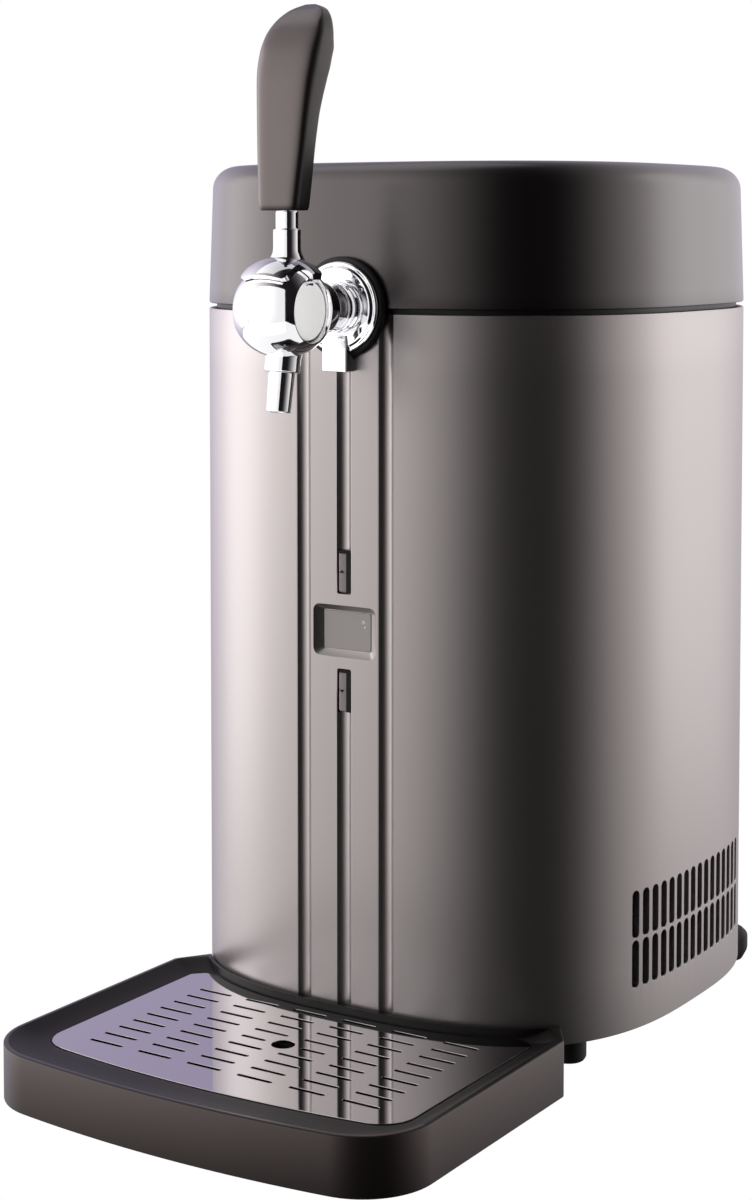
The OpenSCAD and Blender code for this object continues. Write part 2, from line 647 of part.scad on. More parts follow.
edge_steps = 5;
function lid_inset(z) = lid_draft * (z - lid_z) / (lid_top - lid_z);
function lid_rings(inset, z0, z1, r) = concat([lifted(plan_points(inset + lid_inset(z0)), z0)],
    [for (k = [0:edge_steps]) let (a = 90 * k / edge_steps, z = z1 - r + r * sin(a))
        lifted(plan_points(inset + lid_inset(z) + r * (1 - cos(a))), z)]);
notch_r = shank_r + 3;
module shank_notch(y0, y1) {
    translate([0, 0, tap_z]) bar_y(notch_r, y0, y1);
    translate([-notch_r, y0, tap_z - 30]) cube([2 * notch_r, y1 - y0, 30]);
}
lid_screw_x = 86;
lid_screw_y = 72;

module lid_cover() on_axis() color([0.2, 0.185, 0.18]) {
    difference() {
        loft(lid_rings(0, lid_z, lid_top, lid_edge_r));
        loft(lid_rings(lid_wall, lid_z - cut, lid_top - lid_wall, lid_edge_r - lid_wall));
        shank_notch(front - 5, front + 10);
    }
    corners(lid_screw_x, lid_screw_y) tube(4, 1.3, liner_top, lid_top - lid_wall + 0.5);
}
module lid_foam() on_axis() color([0.93, 0.9, 0.8]) difference() {
    slab(liner_inset + 1, liner_top, lid_top - lid_wall - lid_edge_r + 2);
    corners(lid_screw_x, lid_screw_y) translate([0, 0, liner_top - cut])
        cylinder(r = 4 + fit, h = lid_foam_t);
}
module lid_liner() on_axis() color([0.09, 0.09, 0.095]) difference() {
    slab(liner_inset, lid_z + 1.2, liner_top);
    slab(liner_inset + liner_t, lid_z, liner_top - liner_t);
    shank_notch(front - 5, front + 20);
    corners(lid_screw_x, lid_screw_y) translate([0, 0, liner_top - liner_t - cut])
        cylinder(r = screw_r + 0.1, h = liner_t + 2 * cut);
}
module lid_seal() on_axis() color([0.05, 0.05, 0.055]) difference() {
    band(liner_inset - 0.4, liner_foot, shell_top + fit, lid_z + 1.2);
    shank_notch(front - 5, front + 20);
}
module lid_screws() on_axis() color([0.7, 0.7, 0.72]) corners(lid_screw_x, lid_screw_y)
    screw(1.3, liner_top - liner_t, 14, 3, 1.8);

// ---- tap -----------------------------------------------------------------------------------------

ring_y = front - 0.4;                // back of the rubber ring, just clear of the lid
tap_ring_t = 3;
flange_back = ring_y - tap_ring_t;
flange_t = 5;
flange_front = flange_back - flange_t;
lug_w = 14.8;
lug_drop = 32.7;
lug_front = front - 9.3;
shank_bore = 5;
socket_depth = 6;                    // how far the shank screws into the neck
seat_depth = 14;                     // from the neck's end to the valve's seat
neck_r = 12.8;
seat_y = flange_front - fit - seat_depth;
shank_tip = flange_front - fit - socket_depth + 0.2;
valve_room = 8.2;
nut_y = boss_y + 0.2;
nut_t = 6;
nut_r = 13.5;
socket_y = nut_y + nut_t + 2;        // the push-in socket for the beer line
socket_len = 14;
socket_r = 7.5;
hose_r = 4;
hose_in = 9;                         // how far a line goes into its socket
recess_r = 16;
recess_floor = barrel_w / 2 - 4.8;
chamber_r = 8.4;
spout_r = 6.5;
collar_r = 9;
collar_len = 31;
cam_r = 4.2;
cam_throw = valve_travel / sin(45);  // so that a lever pulled to 45 degrees moves the rod its travel
rod_r = 3;
rod_tip = cam_r + 0.2;
guide_r = 4.5;

module at_barrel() on_axis() translate([0, barrel_y, tap_z]) children();
module along_spout() translate([0, stem_back, 0]) rotate([180 - spout_lean, 0, 0]) children();
// A ring about the tap's long axis, between two Y places in front of the cabinet's axis
module turned_y(profile) on_axis() translate([0, 0, tap_z]) rotate([90, 0, 0]) rotate_extrude() polygon(profile);

module tap_ring() turned_y([[shank_r + fit, -ring_y], [tap_ring_r, -ring_y],
    [tap_ring_r, -flange_back - 0.8], [tap_ring_r - 1, -flange_back], [shank_r + fit, -flange_back]]);
module tap_flange() color([0.8, 0.81, 0.83]) {
    turned_y([[shank_r + fit, -flange_back], [flange_r, -flange_back], [flange_r, -flange_back + 1.6],
        [flange_r - 0.9, -flange_back + 2.4], [flange_r - 2, -flange_back + 2.6],
        [flange_r - 3.2, -flange_back + 4], [flange_r - 6.5, -flange_front - 0.2],
        [neck_r + 2, -flange_front], [shank_r + fit, -flange_front]]);
    on_axis() intersection() {
        translate([-lug_w / 2, lug_front, tap_z - lug_drop]) cube([lug_w, front - lug_front, lug_drop - 14]);
        union() {
            translate([-lug_w, lug_front, tap_z - lug_drop]) cube([2 * lug_w, flange_back - lug_front, lug_drop]);
            translate([-lug_w, lug_front, tap_z - lug_drop])
                cube([2 * lug_w, front - lug_front, lug_drop - tap_ring_r - 0.4]);
        }
    }
}
module tap_shank() color([0.74, 0.75, 0.77]) on_axis() translate([0, 0, tap_z]) difference() {
    union() {
        bar_y(shank_r, shank_tip, socket_y);
        bar_y(socket_r, socket_y - cut, socket_y + socket_len);
    }
    bar_y(shank_bore, shank_tip - cut, socket_y);
    bar_y(hose_r - 1, socket_y - cut, socket_y + socket_len);
    bar_y(hose_r + run_fit, socket_y + socket_len - hose_in - fit, socket_y + socket_len + cut);
}
module shank_nut() color([0.74, 0.75, 0.77]) on_axis() translate([0, nut_y, tap_z]) rotate([-90, 0, 0])
    difference() {
        cylinder(r = nut_r, h = nut_t, $fn = 6);
        translate([0, 0, -cut]) cylinder(r = shank_r + run_fit, h = nut_t + 2 * cut);
    }

bulge = 25.6;                        // half the length that the barrel's round form would come to a point at
barrel_steps = 16;
// Radius of the barrel's round form at x along it, grown by grow all round
function ball_r(x, grow) = (barrel_r + grow) * sqrt(1 - pow(x / (bulge + grow), 2));
function ball_run(from, to, grow, n) = [for (k = [0:n]) let (x = from + (to - from) * k / n) [ball_r(x, grow), x]];
function barrel_profile() = concat([[0, -recess_floor], [recess_r - 0.8, -recess_floor], [recess_r, -barrel_w / 2]],
    ball_run(-barrel_w / 2, barrel_w / 2, 0, barrel_steps),
    [[recess_r, barrel_w / 2], [recess_r - 0.8, recess_floor], [0, recess_floor]]);
module turned_x(profile) rotate([0, 90, 0]) rotate_extrude() polygon(profile);
neck_back = flange_front - fit - barrel_y;   // the neck's end, from the barrel's axis

module tap_body() color([0.8, 0.81, 0.83]) at_barrel() difference() {
    union() {
        turned_x(barrel_profile());
        bar_y(neck_r, 10, neck_back);
        bar_y(neck_r + 1.6, barrel_r - 1.5, barrel_r + 6.5);
        bar_y(neck_r + 0.9, neck_back - 6.5, neck_back - 3.5);
        along_spout() cylinder(r = collar_r, h = collar_len);
    }
    bar_x(chamber_r, -7, 7);
    bar_x(pivot_r + run_fit, -barrel_w, barrel_w);
    bar_y(guide_r + run_fit, 0, neck_back);
    bar_y(valve_room, seat_y - barrel_y, neck_back);
    bar_y(shank_r + run_fit, neck_back - socket_depth, neck_back + cut);
    along_spout() {
        cylinder(r = 4, h = collar_len + cut);
        translate([0, 0, collar_len - 9]) cylinder(r = spout_r - 0.7, h = 9 + cut);
    }
}
module spout() color([0.8, 0.81, 0.83]) at_barrel() along_spout() difference() {
    union() {
        translate([0, 0, collar_len]) cylinder(r1 = spout_r + 0.1, r2 = spout_r - 0.4, h = spout_len - collar_len);
        translate([0, 0, collar_len - 6]) cylinder(r = spout_r - 1, h = 6 + cut);
    }
    translate([0, 0, collar_len - 10]) cylinder(r = 3.8, h = spout_len);
}
module spout_seal() color([0.05, 0.05, 0.055]) at_barrel() along_spout()
    tube(spout_r - 1, 4, collar_len - 8.6, collar_len - 6);

yoke_gap = 0.35;
yoke_t = 2.5;
yoke_front = 50;
yoke_back = 46;
yoke_half = 13;
stem_r = 5.65;
stem_base_r = 6.9;
cheek_r = recess_r - 1.4;
cheek_x = recess_floor + yoke_gap;
rim_x = barrel_w / 2 + yoke_gap;
pin_half = cheek_x + 1.3;             // half the pin's length; its ends are blind in the yoke's cheeks
// Sections of the saddle and of one ear, as [distance from the barrel's axis, place along it]
function saddle_profile() = concat(ball_run(-yoke_half, yoke_half, yoke_gap, 10),
    ball_run(yoke_half, -yoke_half, yoke_gap + yoke_t, 10));
function ear_profile(s) = [for (p = concat(ball_run(yoke_half - 0.7, barrel_w / 2, yoke_gap + 0.05, 4),
    [[recess_r + 0.8, rim_x], [recess_r - 1.2, rim_x], [recess_r - 1.2, cheek_x + 0.2],
        [cheek_r - 3, cheek_x + 0.2], [cheek_r - 3, cheek_x + 1.8], [recess_r - 2.4, cheek_x + 2.8],
        [recess_r - 0.6, rim_x + 2]],
    ball_run(rim_x + 2, yoke_half - 0.7, yoke_gap + yoke_t - 0.05, 5))) [p.x, s * p.y]];
// Turned about the barrel's axis from front_a in front of the top to back_a behind it
module arched(front_a, back_a) rotate([0, 90, 0]) rotate(180 - back_a)
    rotate_extrude(angle = front_a + back_a) children();

module lever_yoke() color([0.8, 0.81, 0.83]) at_barrel() difference() {
    union() {
        arched(yoke_front, yoke_back) polygon(saddle_profile());
        arched(13, 13) polygon(ear_profile(1));
        arched(13, 13) polygon(ear_profile(-1));
        for (s = [-1, 1]) bar_x(cheek_r, min(s * cheek_x, s * (cheek_x + 2.2)),
            max(s * cheek_x, s * (cheek_x + 2.2)));
        translate([0, stem_back, 0]) {
            translate([0, 0, barrel_r - 2]) cylinder(r1 = stem_base_r + 3, r2 = stem_base_r, h = 7);
            translate([0, 0, barrel_r + 5 - cut]) cylinder(r = stem_base_r, h = 11);
            translate([0, 0, barrel_r + 16 - 2 * cut]) cylinder(r = stem_r, h = handle_z - barrel_r - 16 + 2 * cut);
            translate([0, 0, handle_z - cut]) cylinder(r = stud_r, h = stud_len);
        }
    }
    turned_x(concat([[0, -yoke_half]], ball_run(-yoke_half, yoke_half, yoke_gap - 0.03, 10), [[0, yoke_half]]));
    bar_x(pivot_r + run_fit / 2, -pin_half - 0.05, pin_half + 0.05);
}
module pivot_pin() color([0.6, 0.61, 0.63]) at_barrel() {
    bar_x(pivot_r, -pin_half, pin_half);
    translate([0, 0, -cam_throw]) bar_x(cam_r, -2.6, 2.6);
}

handle_steps = 14;
section_steps = 28;
section_power = 0.3;
// Up the handle, from 0 to 1: share of its width, share of its thickness, and how far its front lies back
handle_form = [[0, 0.62, 0.7, 0.8], [0.02, 0.66, 0.775, 0], [0.146, 0.725, 0.771, 0.9],
    [0.29, 0.794, 0.75, 2.1], [0.452, 0.865, 0.792, 3.4], [0.538, 0.91, 0.859, 4.2],
    [0.624, 0.959, 0.947, 5.2], [0.7, 0.995, 0.995, 6.9], [0.767, 1, 1, 9.1], [0.838, 0.967, 0.835, 12.9],
    [0.909, 0.829, 0.664, 18.2], [0.966, 0.584, 0.44, 24.6], [0.985, 0.41, 0.3, 27.6],
    [1, 0.16, 0.12, 30.2]];
function form_at(t, k) = lookup(t, [for (row = handle_form) [row[0], row[k]]]);
handle_levels = concat([0, 0.012, 0.025], [for (k = [1:handle_steps]) 0.025 + 0.855 * k / handle_steps],
    [0.92, 0.95, 0.97, 0.985, 1]);
handle_front = -10;
stud_r = 3.2;
stud_len = 26;
function power_of(c) = sign(c) * pow(abs(c), section_power);
function handle_ring(t) = let (w = handle_w * form_at(t, 1) / 2, d = handle_t * form_at(t, 2) / 2,
    y = stem_back + handle_front + form_at(t, 3) + d, z = handle_z + handle_h * t)
    [for (i = [0:section_steps - 1]) let (a = 360 * i / section_steps)
        [w * power_of(cos(a)), y + d * power_of(sin(a)), z]];
module lever_handle() color([0.17, 0.155, 0.155]) at_barrel() difference() {
    loft([for (t = handle_levels) handle_ring(t)]);
    translate([0, stem_back, handle_z - cut]) cylinder(r = stud_r + 0.1, h = stud_len + 1);
}

module valve_rod() color([0.6, 0.61, 0.63]) at_barrel() {
    bar_y(rod_r, rod_tip, seat_y - barrel_y + 3);
    bar_y(valve_room - 1.6, seat_y - barrel_y + 1.8, seat_y - barrel_y + 4.1);
    intersection() {
        bar_y(guide_r, 13, 24);
        for (a = [90:120:330]) rotate([0, a, 0]) translate([0, 13, -0.8]) cube([guide_r, 11, 1.6]);
    }
}
module valve_seal() color([0.05, 0.05, 0.055]) at_barrel() difference() {
    bar_y(valve_room - 1.8, seat_y - barrel_y, seat_y - barrel_y + 1.8);
    bar_y(rod_r, seat_y - barrel_y - cut, seat_y - barrel_y + 2);
}

// ---- drip tray -----------------------------------------------------------------------------------

tray_w = cabinet_w - 2 * tray_inset;
tray_front = half_d + tray_depth;
bow_y = tray_bow_r - tray_front;
tray_gap = 0.5;
tray_rear = 13.8 - half_d;           // Y of the rear corners
tray_notch_x = tray_w / 2 - 11.9;
plate_side = tray_w / 2 - side_rim;
plate_front = tray_front - front_rim;
plate_corner_r = 18;
rear_lip = 3.4;
floor_t = 3;
ledge = 4;
slot_rows = 9;
first_row = 9.8;                     // from the cabinet's front to the first row

function arc(c, r, a0, a1, n) = [for (i = [0:n]) let (a = a0 + (a1 - a0) * i / n) c + r * [cos(a), sin(a)]];
function rounded_corner(a, b, c, r, n) = let (u = unit(a - b), v = unit(c - b), h = acos(u * v) / 2,
    m = b + unit(u + v) * r / sin(h), p = b + u * r / tan(h) - m, q = b + v * r / tan(h) - m,
    a0 = atan2(p.y, p.x), turn = (atan2(q.y, q.x) - a0 + 540) % 360 - 180) arc(m, r, a0, a0 + turn, n);
function mirrored(points) = [for (i = [len(points) - 1:-1:0]) [-points[i].x, points[i].y]];
// Right half of the tray's plan, from the middle of the bowed front to the rear corner and the cabinet
function half_plan(side, front_edge, corner, rear_x, gap, rear_r) = let (
    bow = bow_y + front_edge, cx = side - corner, cy = bow_y - sqrt(pow(bow - corner, 2) - cx * cx),
    a = atan2(cy - bow_y, cx), back = [rear_x, front_y(rear_x, -gap)])
    concat(arc([0, bow_y], bow, -90, a - 0.4, 6), arc([cx, cy], corner, a, 0, 9),
        rounded_corner([side, cy], [side, tray_rear], back, rear_r, 4),
        [for (i = [0:11]) let (x = rear_x * (1 - i / 11)) [x, front_y(x, -gap)]]);
function tray_plan(side, front_edge, corner, rear_x, gap, rear_r) = let (
    half = half_plan(side, front_edge, corner, rear_x, gap, rear_r), n = len(half))
    concat(half, [for (i = [n - 2:-1:1]) [-half[i].x, half[i].y]]);
function rim_plan(t) = tray_plan(tray_w / 2 - t, tray_front - t, tray_corner_r - t, tray_notch_x - t,
    tray_gap + t, 3);
function plate_plan(t) = tray_plan(plate_side - t, plate_front - t, plate_corner_r - t,
    side_x(tray_rear, -rear_lip), rear_lip + t, 8);
module flat(points, z0, z1) translate([0, 0, z0]) linear_extrude(z1 - z0) polygon(points);

module drip_tray() color([0.16, 0.15, 0.15]) on_axis() difference() {
    flat(rim_plan(0), 0, tray_h);
    difference() {
        flat(rim_plan(tray_wall), -cut, plate_z - tray_wall - 0.5);
        flat(plate_plan(ledge - tray_wall), -2 * cut, plate_z);
    }
    flat(plate_plan(ledge), floor_t, tray_h + cut);
    flat(plate_plan(-fit), plate_z - fit, tray_h + cut);
    loft([lifted(plate_plan(-fit - 0.6), plate_top - 0.4), lifted(rim_plan(2.4), tray_h + 0.01)]);
}

slot_mid = front - first_row - (slot_rows - 1) / 2 * slot_row_pitch;
module drain_slot(x0, x1, y) {
    for (x = [x0 + slot_w / 2, x1 - slot_w / 2]) translate([x, y, plate_z - cut])
        cylinder(r = slot_w / 2, h = plate_t + 2 * cut, $fn = 16);
    translate([x0 + slot_w / 2, y - slot_w / 2, plate_z - cut]) cube([x1 - x0 - slot_w, slot_w, plate_t + 2 * cut]);
}
module drip_plate() color([0.82, 0.82, 0.84]) on_axis() difference() {
    flat(plate_plan(0), plate_z, plate_top);
    translate([0, slot_mid, plate_z - cut]) cylinder(r = finger_r, h = plate_t + 2 * cut);
    for (side = [-1, 1], col = [0:2], row = [0:slot_rows - 1]) {
        y = slot_mid + (row - (slot_rows - 1) / 2) * slot_row_pitch;
        mid = slot_col_pitch * (col + 0.5);
        near = abs(y - slot_mid) < finger_r + 6 ? max(mid - slot_len / 2, finger_r + 5) : mid - slot_len / 2;
        drain_slot(min(side * near, side * (mid + slot_len / 2)), max(side * near, side * (mid + slot_len / 2)), y);
    }
}

// ---- gas and beer lines --------------------------------------------------------------------------

regulator_r = cartridge_r + 4.5;
regulator_h = 24;
knob_z = shell_top + regulator_h;
port_z = shell_top + 11;
port_len = 12;
module port(body_r) translate([0, 0, port_z]) bar_x(hose_r + 2.4, 0, body_r + port_len);
module port_hole(body_r) translate([0, 0, port_z])
    bar_x(hose_r + run_fit, body_r + port_len - hose_in - fit, body_r + port_len + cut);
module gas_regulator() color([0.72, 0.7, 0.66]) on_axis() pocket_places(1) difference() {
    union() {
        translate([0, 0, shell_top]) cylinder(r = regulator_r, h = regulator_h - 4);
        translate([0, 0, shell_top - 6]) cylinder(r = cartridge_r + 0.5, h = 7);
        translate([0, 0, shell_top]) cylinder(r = 5, h = regulator_h + 6);
        rotate(corner_angle + 90) port(regulator_r);
    }
    rotate(corner_angle + 90) port_hole(regulator_r);
    translate([0, 0, shell_top - 7]) cylinder(r = can_neck_r + 0.4, h = 14);
}
module regulator_knob() color([0.1, 0.1, 0.105]) on_axis() pocket_places(1) difference() {
    union() {
        translate([0, 0, knob_z - 3]) cylinder(r = regulator_r - 1, h = 15);
        for (a = [0:30:330]) rotate(a) translate([regulator_r - 1, 0, knob_z - 3]) cylinder(r = 1.2, h = 13, $fn = 16);
    }
    translate([0, 0, knob_z - 4]) cylinder(r = 5 + run_fit, h = 11);
}
module cartridge_sleeve() color([0.75, 0.76, 0.78]) on_axis() pocket_places(1) difference() {
    translate([0, 0, shell_top - sleeve_len]) cylinder(r = sleeve_r, h = sleeve_len);
    translate([0, 0, shell_top - sleeve_len + 2]) cylinder(r = cartridge_r + 0.8, h = sleeve_len);
}
can_body = sleeve_len - 24;
can_neck_r = 4.2;
module gas_cartridge() color([0.62, 0.64, 0.66]) on_axis() pocket_places(1)
    translate([0, 0, shell_top - sleeve_len + 2]) rotate_extrude() polygon(concat([[0, 0]],
        arc([cartridge_r - 6, 6], 6, -90, 0, 5), arc([cartridge_r - 8, can_body], 8, 0, 60, 5),
        [[can_neck_r, can_body + 8.5], [can_neck_r, sleeve_len - 7], [0, sleeve_len - 7]]));

coupler_r = 15;
tube_in = 10;                        // how far the tube goes into the coupler
seal_len = 20;
coupler_body_r = 11;
coupler_z = shell_top + 20;
module keg_coupler() color([0.12, 0.12, 0.13]) on_axis() pocket_places(-1) difference() {
    union() {
        translate([0, 0, shell_top]) cylinder(r = coupler_r, h = 5);
        translate([0, 0, shell_top]) cylinder(r = coupler_body_r, h = 20);
        translate([0, 0, coupler_z]) cylinder(r1 = coupler_body_r, r2 = 8, h = 4);
        for (a = [-135, 135]) rotate(a) port(coupler_body_r);
    }
    for (a = [-135, 135]) rotate(a) port_hole(coupler_body_r);
    translate([0, 0, shell_top - cut]) cylinder(r = tube_r + run_fit, h = tube_in + cut + 0.1);
}
module coupler_tube() color([0.75, 0.76, 0.78]) on_axis() pocket_places(-1)
    tube(tube_r, tube_r - 1.2, ring_z - tube_len, shell_top + tube_in);
module coupler_seal() color([0.05, 0.05, 0.055]) on_axis() pocket_places(-1)
    translate([0, 0, shell_top - seal_len]) difference() {
        cylinder(r1 = tube_r + 4.5, r2 = tube_r + 6.5, h = seal_len);
        translate([0, 0, -cut]) cylinder(r = tube_r + run_fit, h = seal_len + 2 * cut);
    }

pocket_x = pocket_reach * cos(corner_angle);
gas_from = pocket_x - regulator_r - port_len;
gas_to = -pocket_x + coupler_body_r + port_len;
line_ring_r = well_out + 6.8;        // the lines run round the well's mouth at this radius
gas_bow = line_ring_r + 2;
gas_route = [[gas_from + hose_in, pocket_x, port_z], [gas_from, pocket_x, port_z],
    [gas_from - 8, pocket_x + 0.8, port_z], [gas_from / 2, gas_bow - 6, port_z + 1],
    [0, gas_bow, port_z + 2], [gas_to / 2, gas_bow - 5, port_z + 1],
    [gas_to + 9, pocket_x + 0.8, port_z], [gas_to, pocket_x, port_z], [gas_to - hose_in, pocket_x, port_z]];
module gas_line() color([0.1, 0.1, 0.11]) on_axis()
    swept_tube(smooth(gas_route, 4), hose_r, hose_sides, [0, 0, 1]);
beer_from = socket_y + socket_len;
beer_to = pocket_x - coupler_body_r - port_len;
function round_well(a, z) = [line_ring_r * cos(a), line_ring_r * sin(a), z];
line_start_angle = -118;             // where the beer line meets the well's mouth, and its steps round it
line_step_angle = -16.2;
line_steps = 5;
beer_route = concat([[0, beer_from - hose_in, tap_z], [0, beer_from, tap_z], [-1, beer_from + 4, tap_z + 0.3],
    [-8, beer_from + 7.2, tap_z + 1], [-22, beer_from + 7.2, tap_z + 2.6]],
    [for (k = [0:line_steps]) round_well(line_start_angle + line_step_angle * k, k == 0 ? tap_z + 4 : port_z)],
    [[-pocket_x - 0.6, beer_to - 9, port_z], [-pocket_x, beer_to, port_z], [-pocket_x, beer_to + hose_in, port_z]]);
module beer_line() color([0.75, 0.78, 0.8]) on_axis()
    swept_tube(smooth(beer_route, 4), hose_r, hose_sides, [0, 0, 1]);

cabinet_shell();
top_ring();
keg_well();
foam_jacket();
base_pan();
front_feet();
rear_feet();
foot_screws();
pan_screws();
cold_block();
cooling_module();
heatsink();
heatsink_screws();
fan_frame();
fan_rotor();
fan_screws();
power_board();
transformer();
capacitors();
power_inlet();
inlet_pins();
inlet_screws();
control_board();
display_module();
display_glass();
switches();
control_screws();
button_up();
button_down();
wiring_loom();
lid_cover();
lid_foam();
lid_liner();
lid_seal();
lid_screws();
tap_ring();
tap_flange();
tap_shank();
shank_nut();
tap_body();
spout();
spout_seal();
pivot_pin();
lever_yoke();
lever_handle();
valve_rod();
valve_seal();
drip_tray();
drip_plate();
gas_regulator();
regulator_knob();
cartridge_sleeve();
gas_cartridge();
gas_line();
keg_coupler();
coupler_tube();
coupler_seal();
beer_line();
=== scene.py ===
import math
import bmesh
import bpy
import numpy as np
from mathutils import Matrix, Vector


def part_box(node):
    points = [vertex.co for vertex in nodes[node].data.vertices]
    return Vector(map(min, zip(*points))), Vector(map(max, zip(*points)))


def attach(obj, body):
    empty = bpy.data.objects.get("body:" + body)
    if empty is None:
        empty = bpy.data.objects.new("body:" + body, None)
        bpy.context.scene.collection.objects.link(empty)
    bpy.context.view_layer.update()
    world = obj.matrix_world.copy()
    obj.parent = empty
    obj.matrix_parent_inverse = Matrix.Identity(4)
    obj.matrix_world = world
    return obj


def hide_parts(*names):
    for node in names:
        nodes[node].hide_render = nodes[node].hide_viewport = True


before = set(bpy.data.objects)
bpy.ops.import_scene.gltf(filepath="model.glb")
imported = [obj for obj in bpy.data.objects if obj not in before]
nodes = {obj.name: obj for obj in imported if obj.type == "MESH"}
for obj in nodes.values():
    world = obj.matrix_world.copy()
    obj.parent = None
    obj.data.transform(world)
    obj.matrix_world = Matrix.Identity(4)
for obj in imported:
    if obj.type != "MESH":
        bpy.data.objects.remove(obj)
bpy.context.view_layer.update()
scene = bpy.context.scene

# ---- Camera, floor and lights ----------------------------------------------------------------------
# The camera was solved from the photograph: a 69.9 mm lens, 33 degrees to the right of the front and
# 3 degrees above the horizon. Floor and background are plain white, the lamps are soft boxes.
AXIS_Y = sum(corner.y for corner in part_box("keg_well")) / 2      # the cabinet's upright axis
camera_data = bpy.data.cameras.new("camera")
camera_data.sensor_width = 36.0
camera_data.lens = 69.9
camera_data.shift_y = -0.198
camera = bpy.data.objects.new("camera", camera_data)
camera.location = (0.657, -1.133 + AXIS_Y, 0.432)
camera.rotation_euler = [math.radians(a) for a in (86.72, 0.0, 32.64)]
scene.collection.objects.link(camera)
scene.camera = camera
scene.view_settings.view_transform = "Standard"


def add(tree, kind, inputs=(), **settings):
    """A node with its settings, and its inputs by number or name, each a value or another node's output."""
    node = tree.nodes.new(kind)
    for name, value in settings.items():
        setattr(node, name, value)
    for key, value in dict(inputs).items():
        if isinstance(value, bpy.types.NodeSocket):
            tree.links.new(value, node.inputs[key])
        else:
            node.inputs[key].default_value = value
    return node


def math_node(tree, operation, *values):
    """A Math node's output."""
    return add(tree, "ShaderNodeMath", dict(enumerate(values)), operation=operation).outputs[0]


def mesh_object(name, points, edges=(), faces=()):
    """A new object in the scene with that mesh."""
    mesh = bpy.data.meshes.new(name)
    mesh.from_pydata([tuple(map(float, p)) for p in points], edges, [tuple(map(int, f)) for f in faces])
    obj = bpy.data.objects.new(name, mesh)
    scene.collection.objects.link(obj)
    return obj


def softbox(name, place, aim, width, height, power):
    """A rectangular area lamp, width by height, turned towards a point."""
    data = bpy.data.lights.new(name, "AREA")
    data.shape = "RECTANGLE"
    data.size, data.size_y = width, height
    data.energy = power
    lamp = bpy.data.objects.new(name, data)
    lamp.location = place
    lamp.rotation_euler = (Vector(aim) - Vector(place)).to_track_quat("-Z", "Y").to_euler()
    scene.collection.objects.link(lamp)
    return lamp


WHITE = (1, 1, 1, 1)
world = bpy.data.worlds.new("studio")
scene.world = world
world.use_nodes = True
sky = world.node_tree
sky.nodes.clear()
path = add(sky, "ShaderNodeLightPath")
ray = add(sky, "ShaderNodeTexCoord")


def glow(azimuth, power, color, before):
    """Soft light from that side added to what is there, falling off smoothly away from it."""
    way = (math.cos(math.radians(azimuth)), math.sin(math.radians(azimuth)), 0.0)
    toward = add(sky, "ShaderNodeVectorMath", {0: ray.outputs["Generated"], 1: way},
                 operation="DOT_PRODUCT")
    fall = math_node(sky, "POWER", math_node(sky, "MAXIMUM", toward.outputs["Value"], 0.0), power)
    tone = add(sky, "ShaderNodeVectorMath", {0: color, "Scale": fall}, operation="SCALE")
    return add(sky, "ShaderNodeVectorMath", {0: tone.outputs[0], 1: before}, operation="ADD").outputs[0]


tone = glow(-156, 1.9, (1.97, 1.90, 1.89), (0.012, 0.010, 0.012))
tone = glow(60, 2.5, (1.34, 1.28, 1.28), tone)
tone = glow(140, 2.5, (0.29, 0.24, 0.44), tone)
height = add(sky, "ShaderNodeSeparateXYZ", {0: ray.outputs["Generated"]})
# The room grows darker below the horizon.
below = math_node(sky, "MULTIPLY_ADD", height.outputs[2], 1.3, 1.0)
dim = add(sky, "ShaderNodeClamp", {"Value": below, "Min": 0.12, "Max": 1.0})
room = add(sky, "ShaderNodeBackground", {"Color": tone, "Strength": dim.outputs[0]})
white = add(sky, "ShaderNodeBackground", {"Color": WHITE, "Strength": 1.0})
mix = add(sky, "ShaderNodeMixShader", {0: path.outputs["Is Camera Ray"], 1: room.outputs[0],
                                       2: white.outputs[0]})
add(sky, "ShaderNodeOutputWorld", {"Surface": mix.outputs[0]})

FLOOR_HALF, FLOOR_Z = 4.0, -0.0004
floor = mesh_object("floor", [(x * FLOOR_HALF, y * FLOOR_HALF, FLOOR_Z)
                              for x, y in ((-1, -1), (1, -1), (1, 1), (-1, 1))], faces=[(0, 1, 2, 3)])
# The paper is white where the camera looks straight at it, and clear to every other ray.
paper = bpy.data.materials.new("paper")
paper.use_nodes = True
sheet = paper.node_tree
sheet.nodes.clear()
straight = add(sheet, "ShaderNodeLightPath").outputs["Is Camera Ray"]
clear = add(sheet, "ShaderNodeBsdfTransparent", {"Color": WHITE})
shining = add(sheet, "ShaderNodeEmission", {"Color": WHITE, "Strength": 1.0})
mix = add(sheet, "ShaderNodeMixShader", {0: straight, 1: clear.outputs[0], 2: shining.outputs[0]})
add(sheet, "ShaderNodeOutputMaterial", {"Surface": mix.outputs[0]})
floor.data.materials.append(paper)

softbox("wall_left", (-1.5, -0.55 + AXIS_Y, 0.55), (0, AXIS_Y, 0.30), 0.9, 1.7, 4)
softbox("wall_right", (0.98, 1.4 + AXIS_Y, 0.55), (0, AXIS_Y, 0.30), 0.8, 1.7, 2.5)
softbox("top", (-0.5, 0.2, 1.7), (0, 0, 0.3), 1.0, 0.8, 1.5)
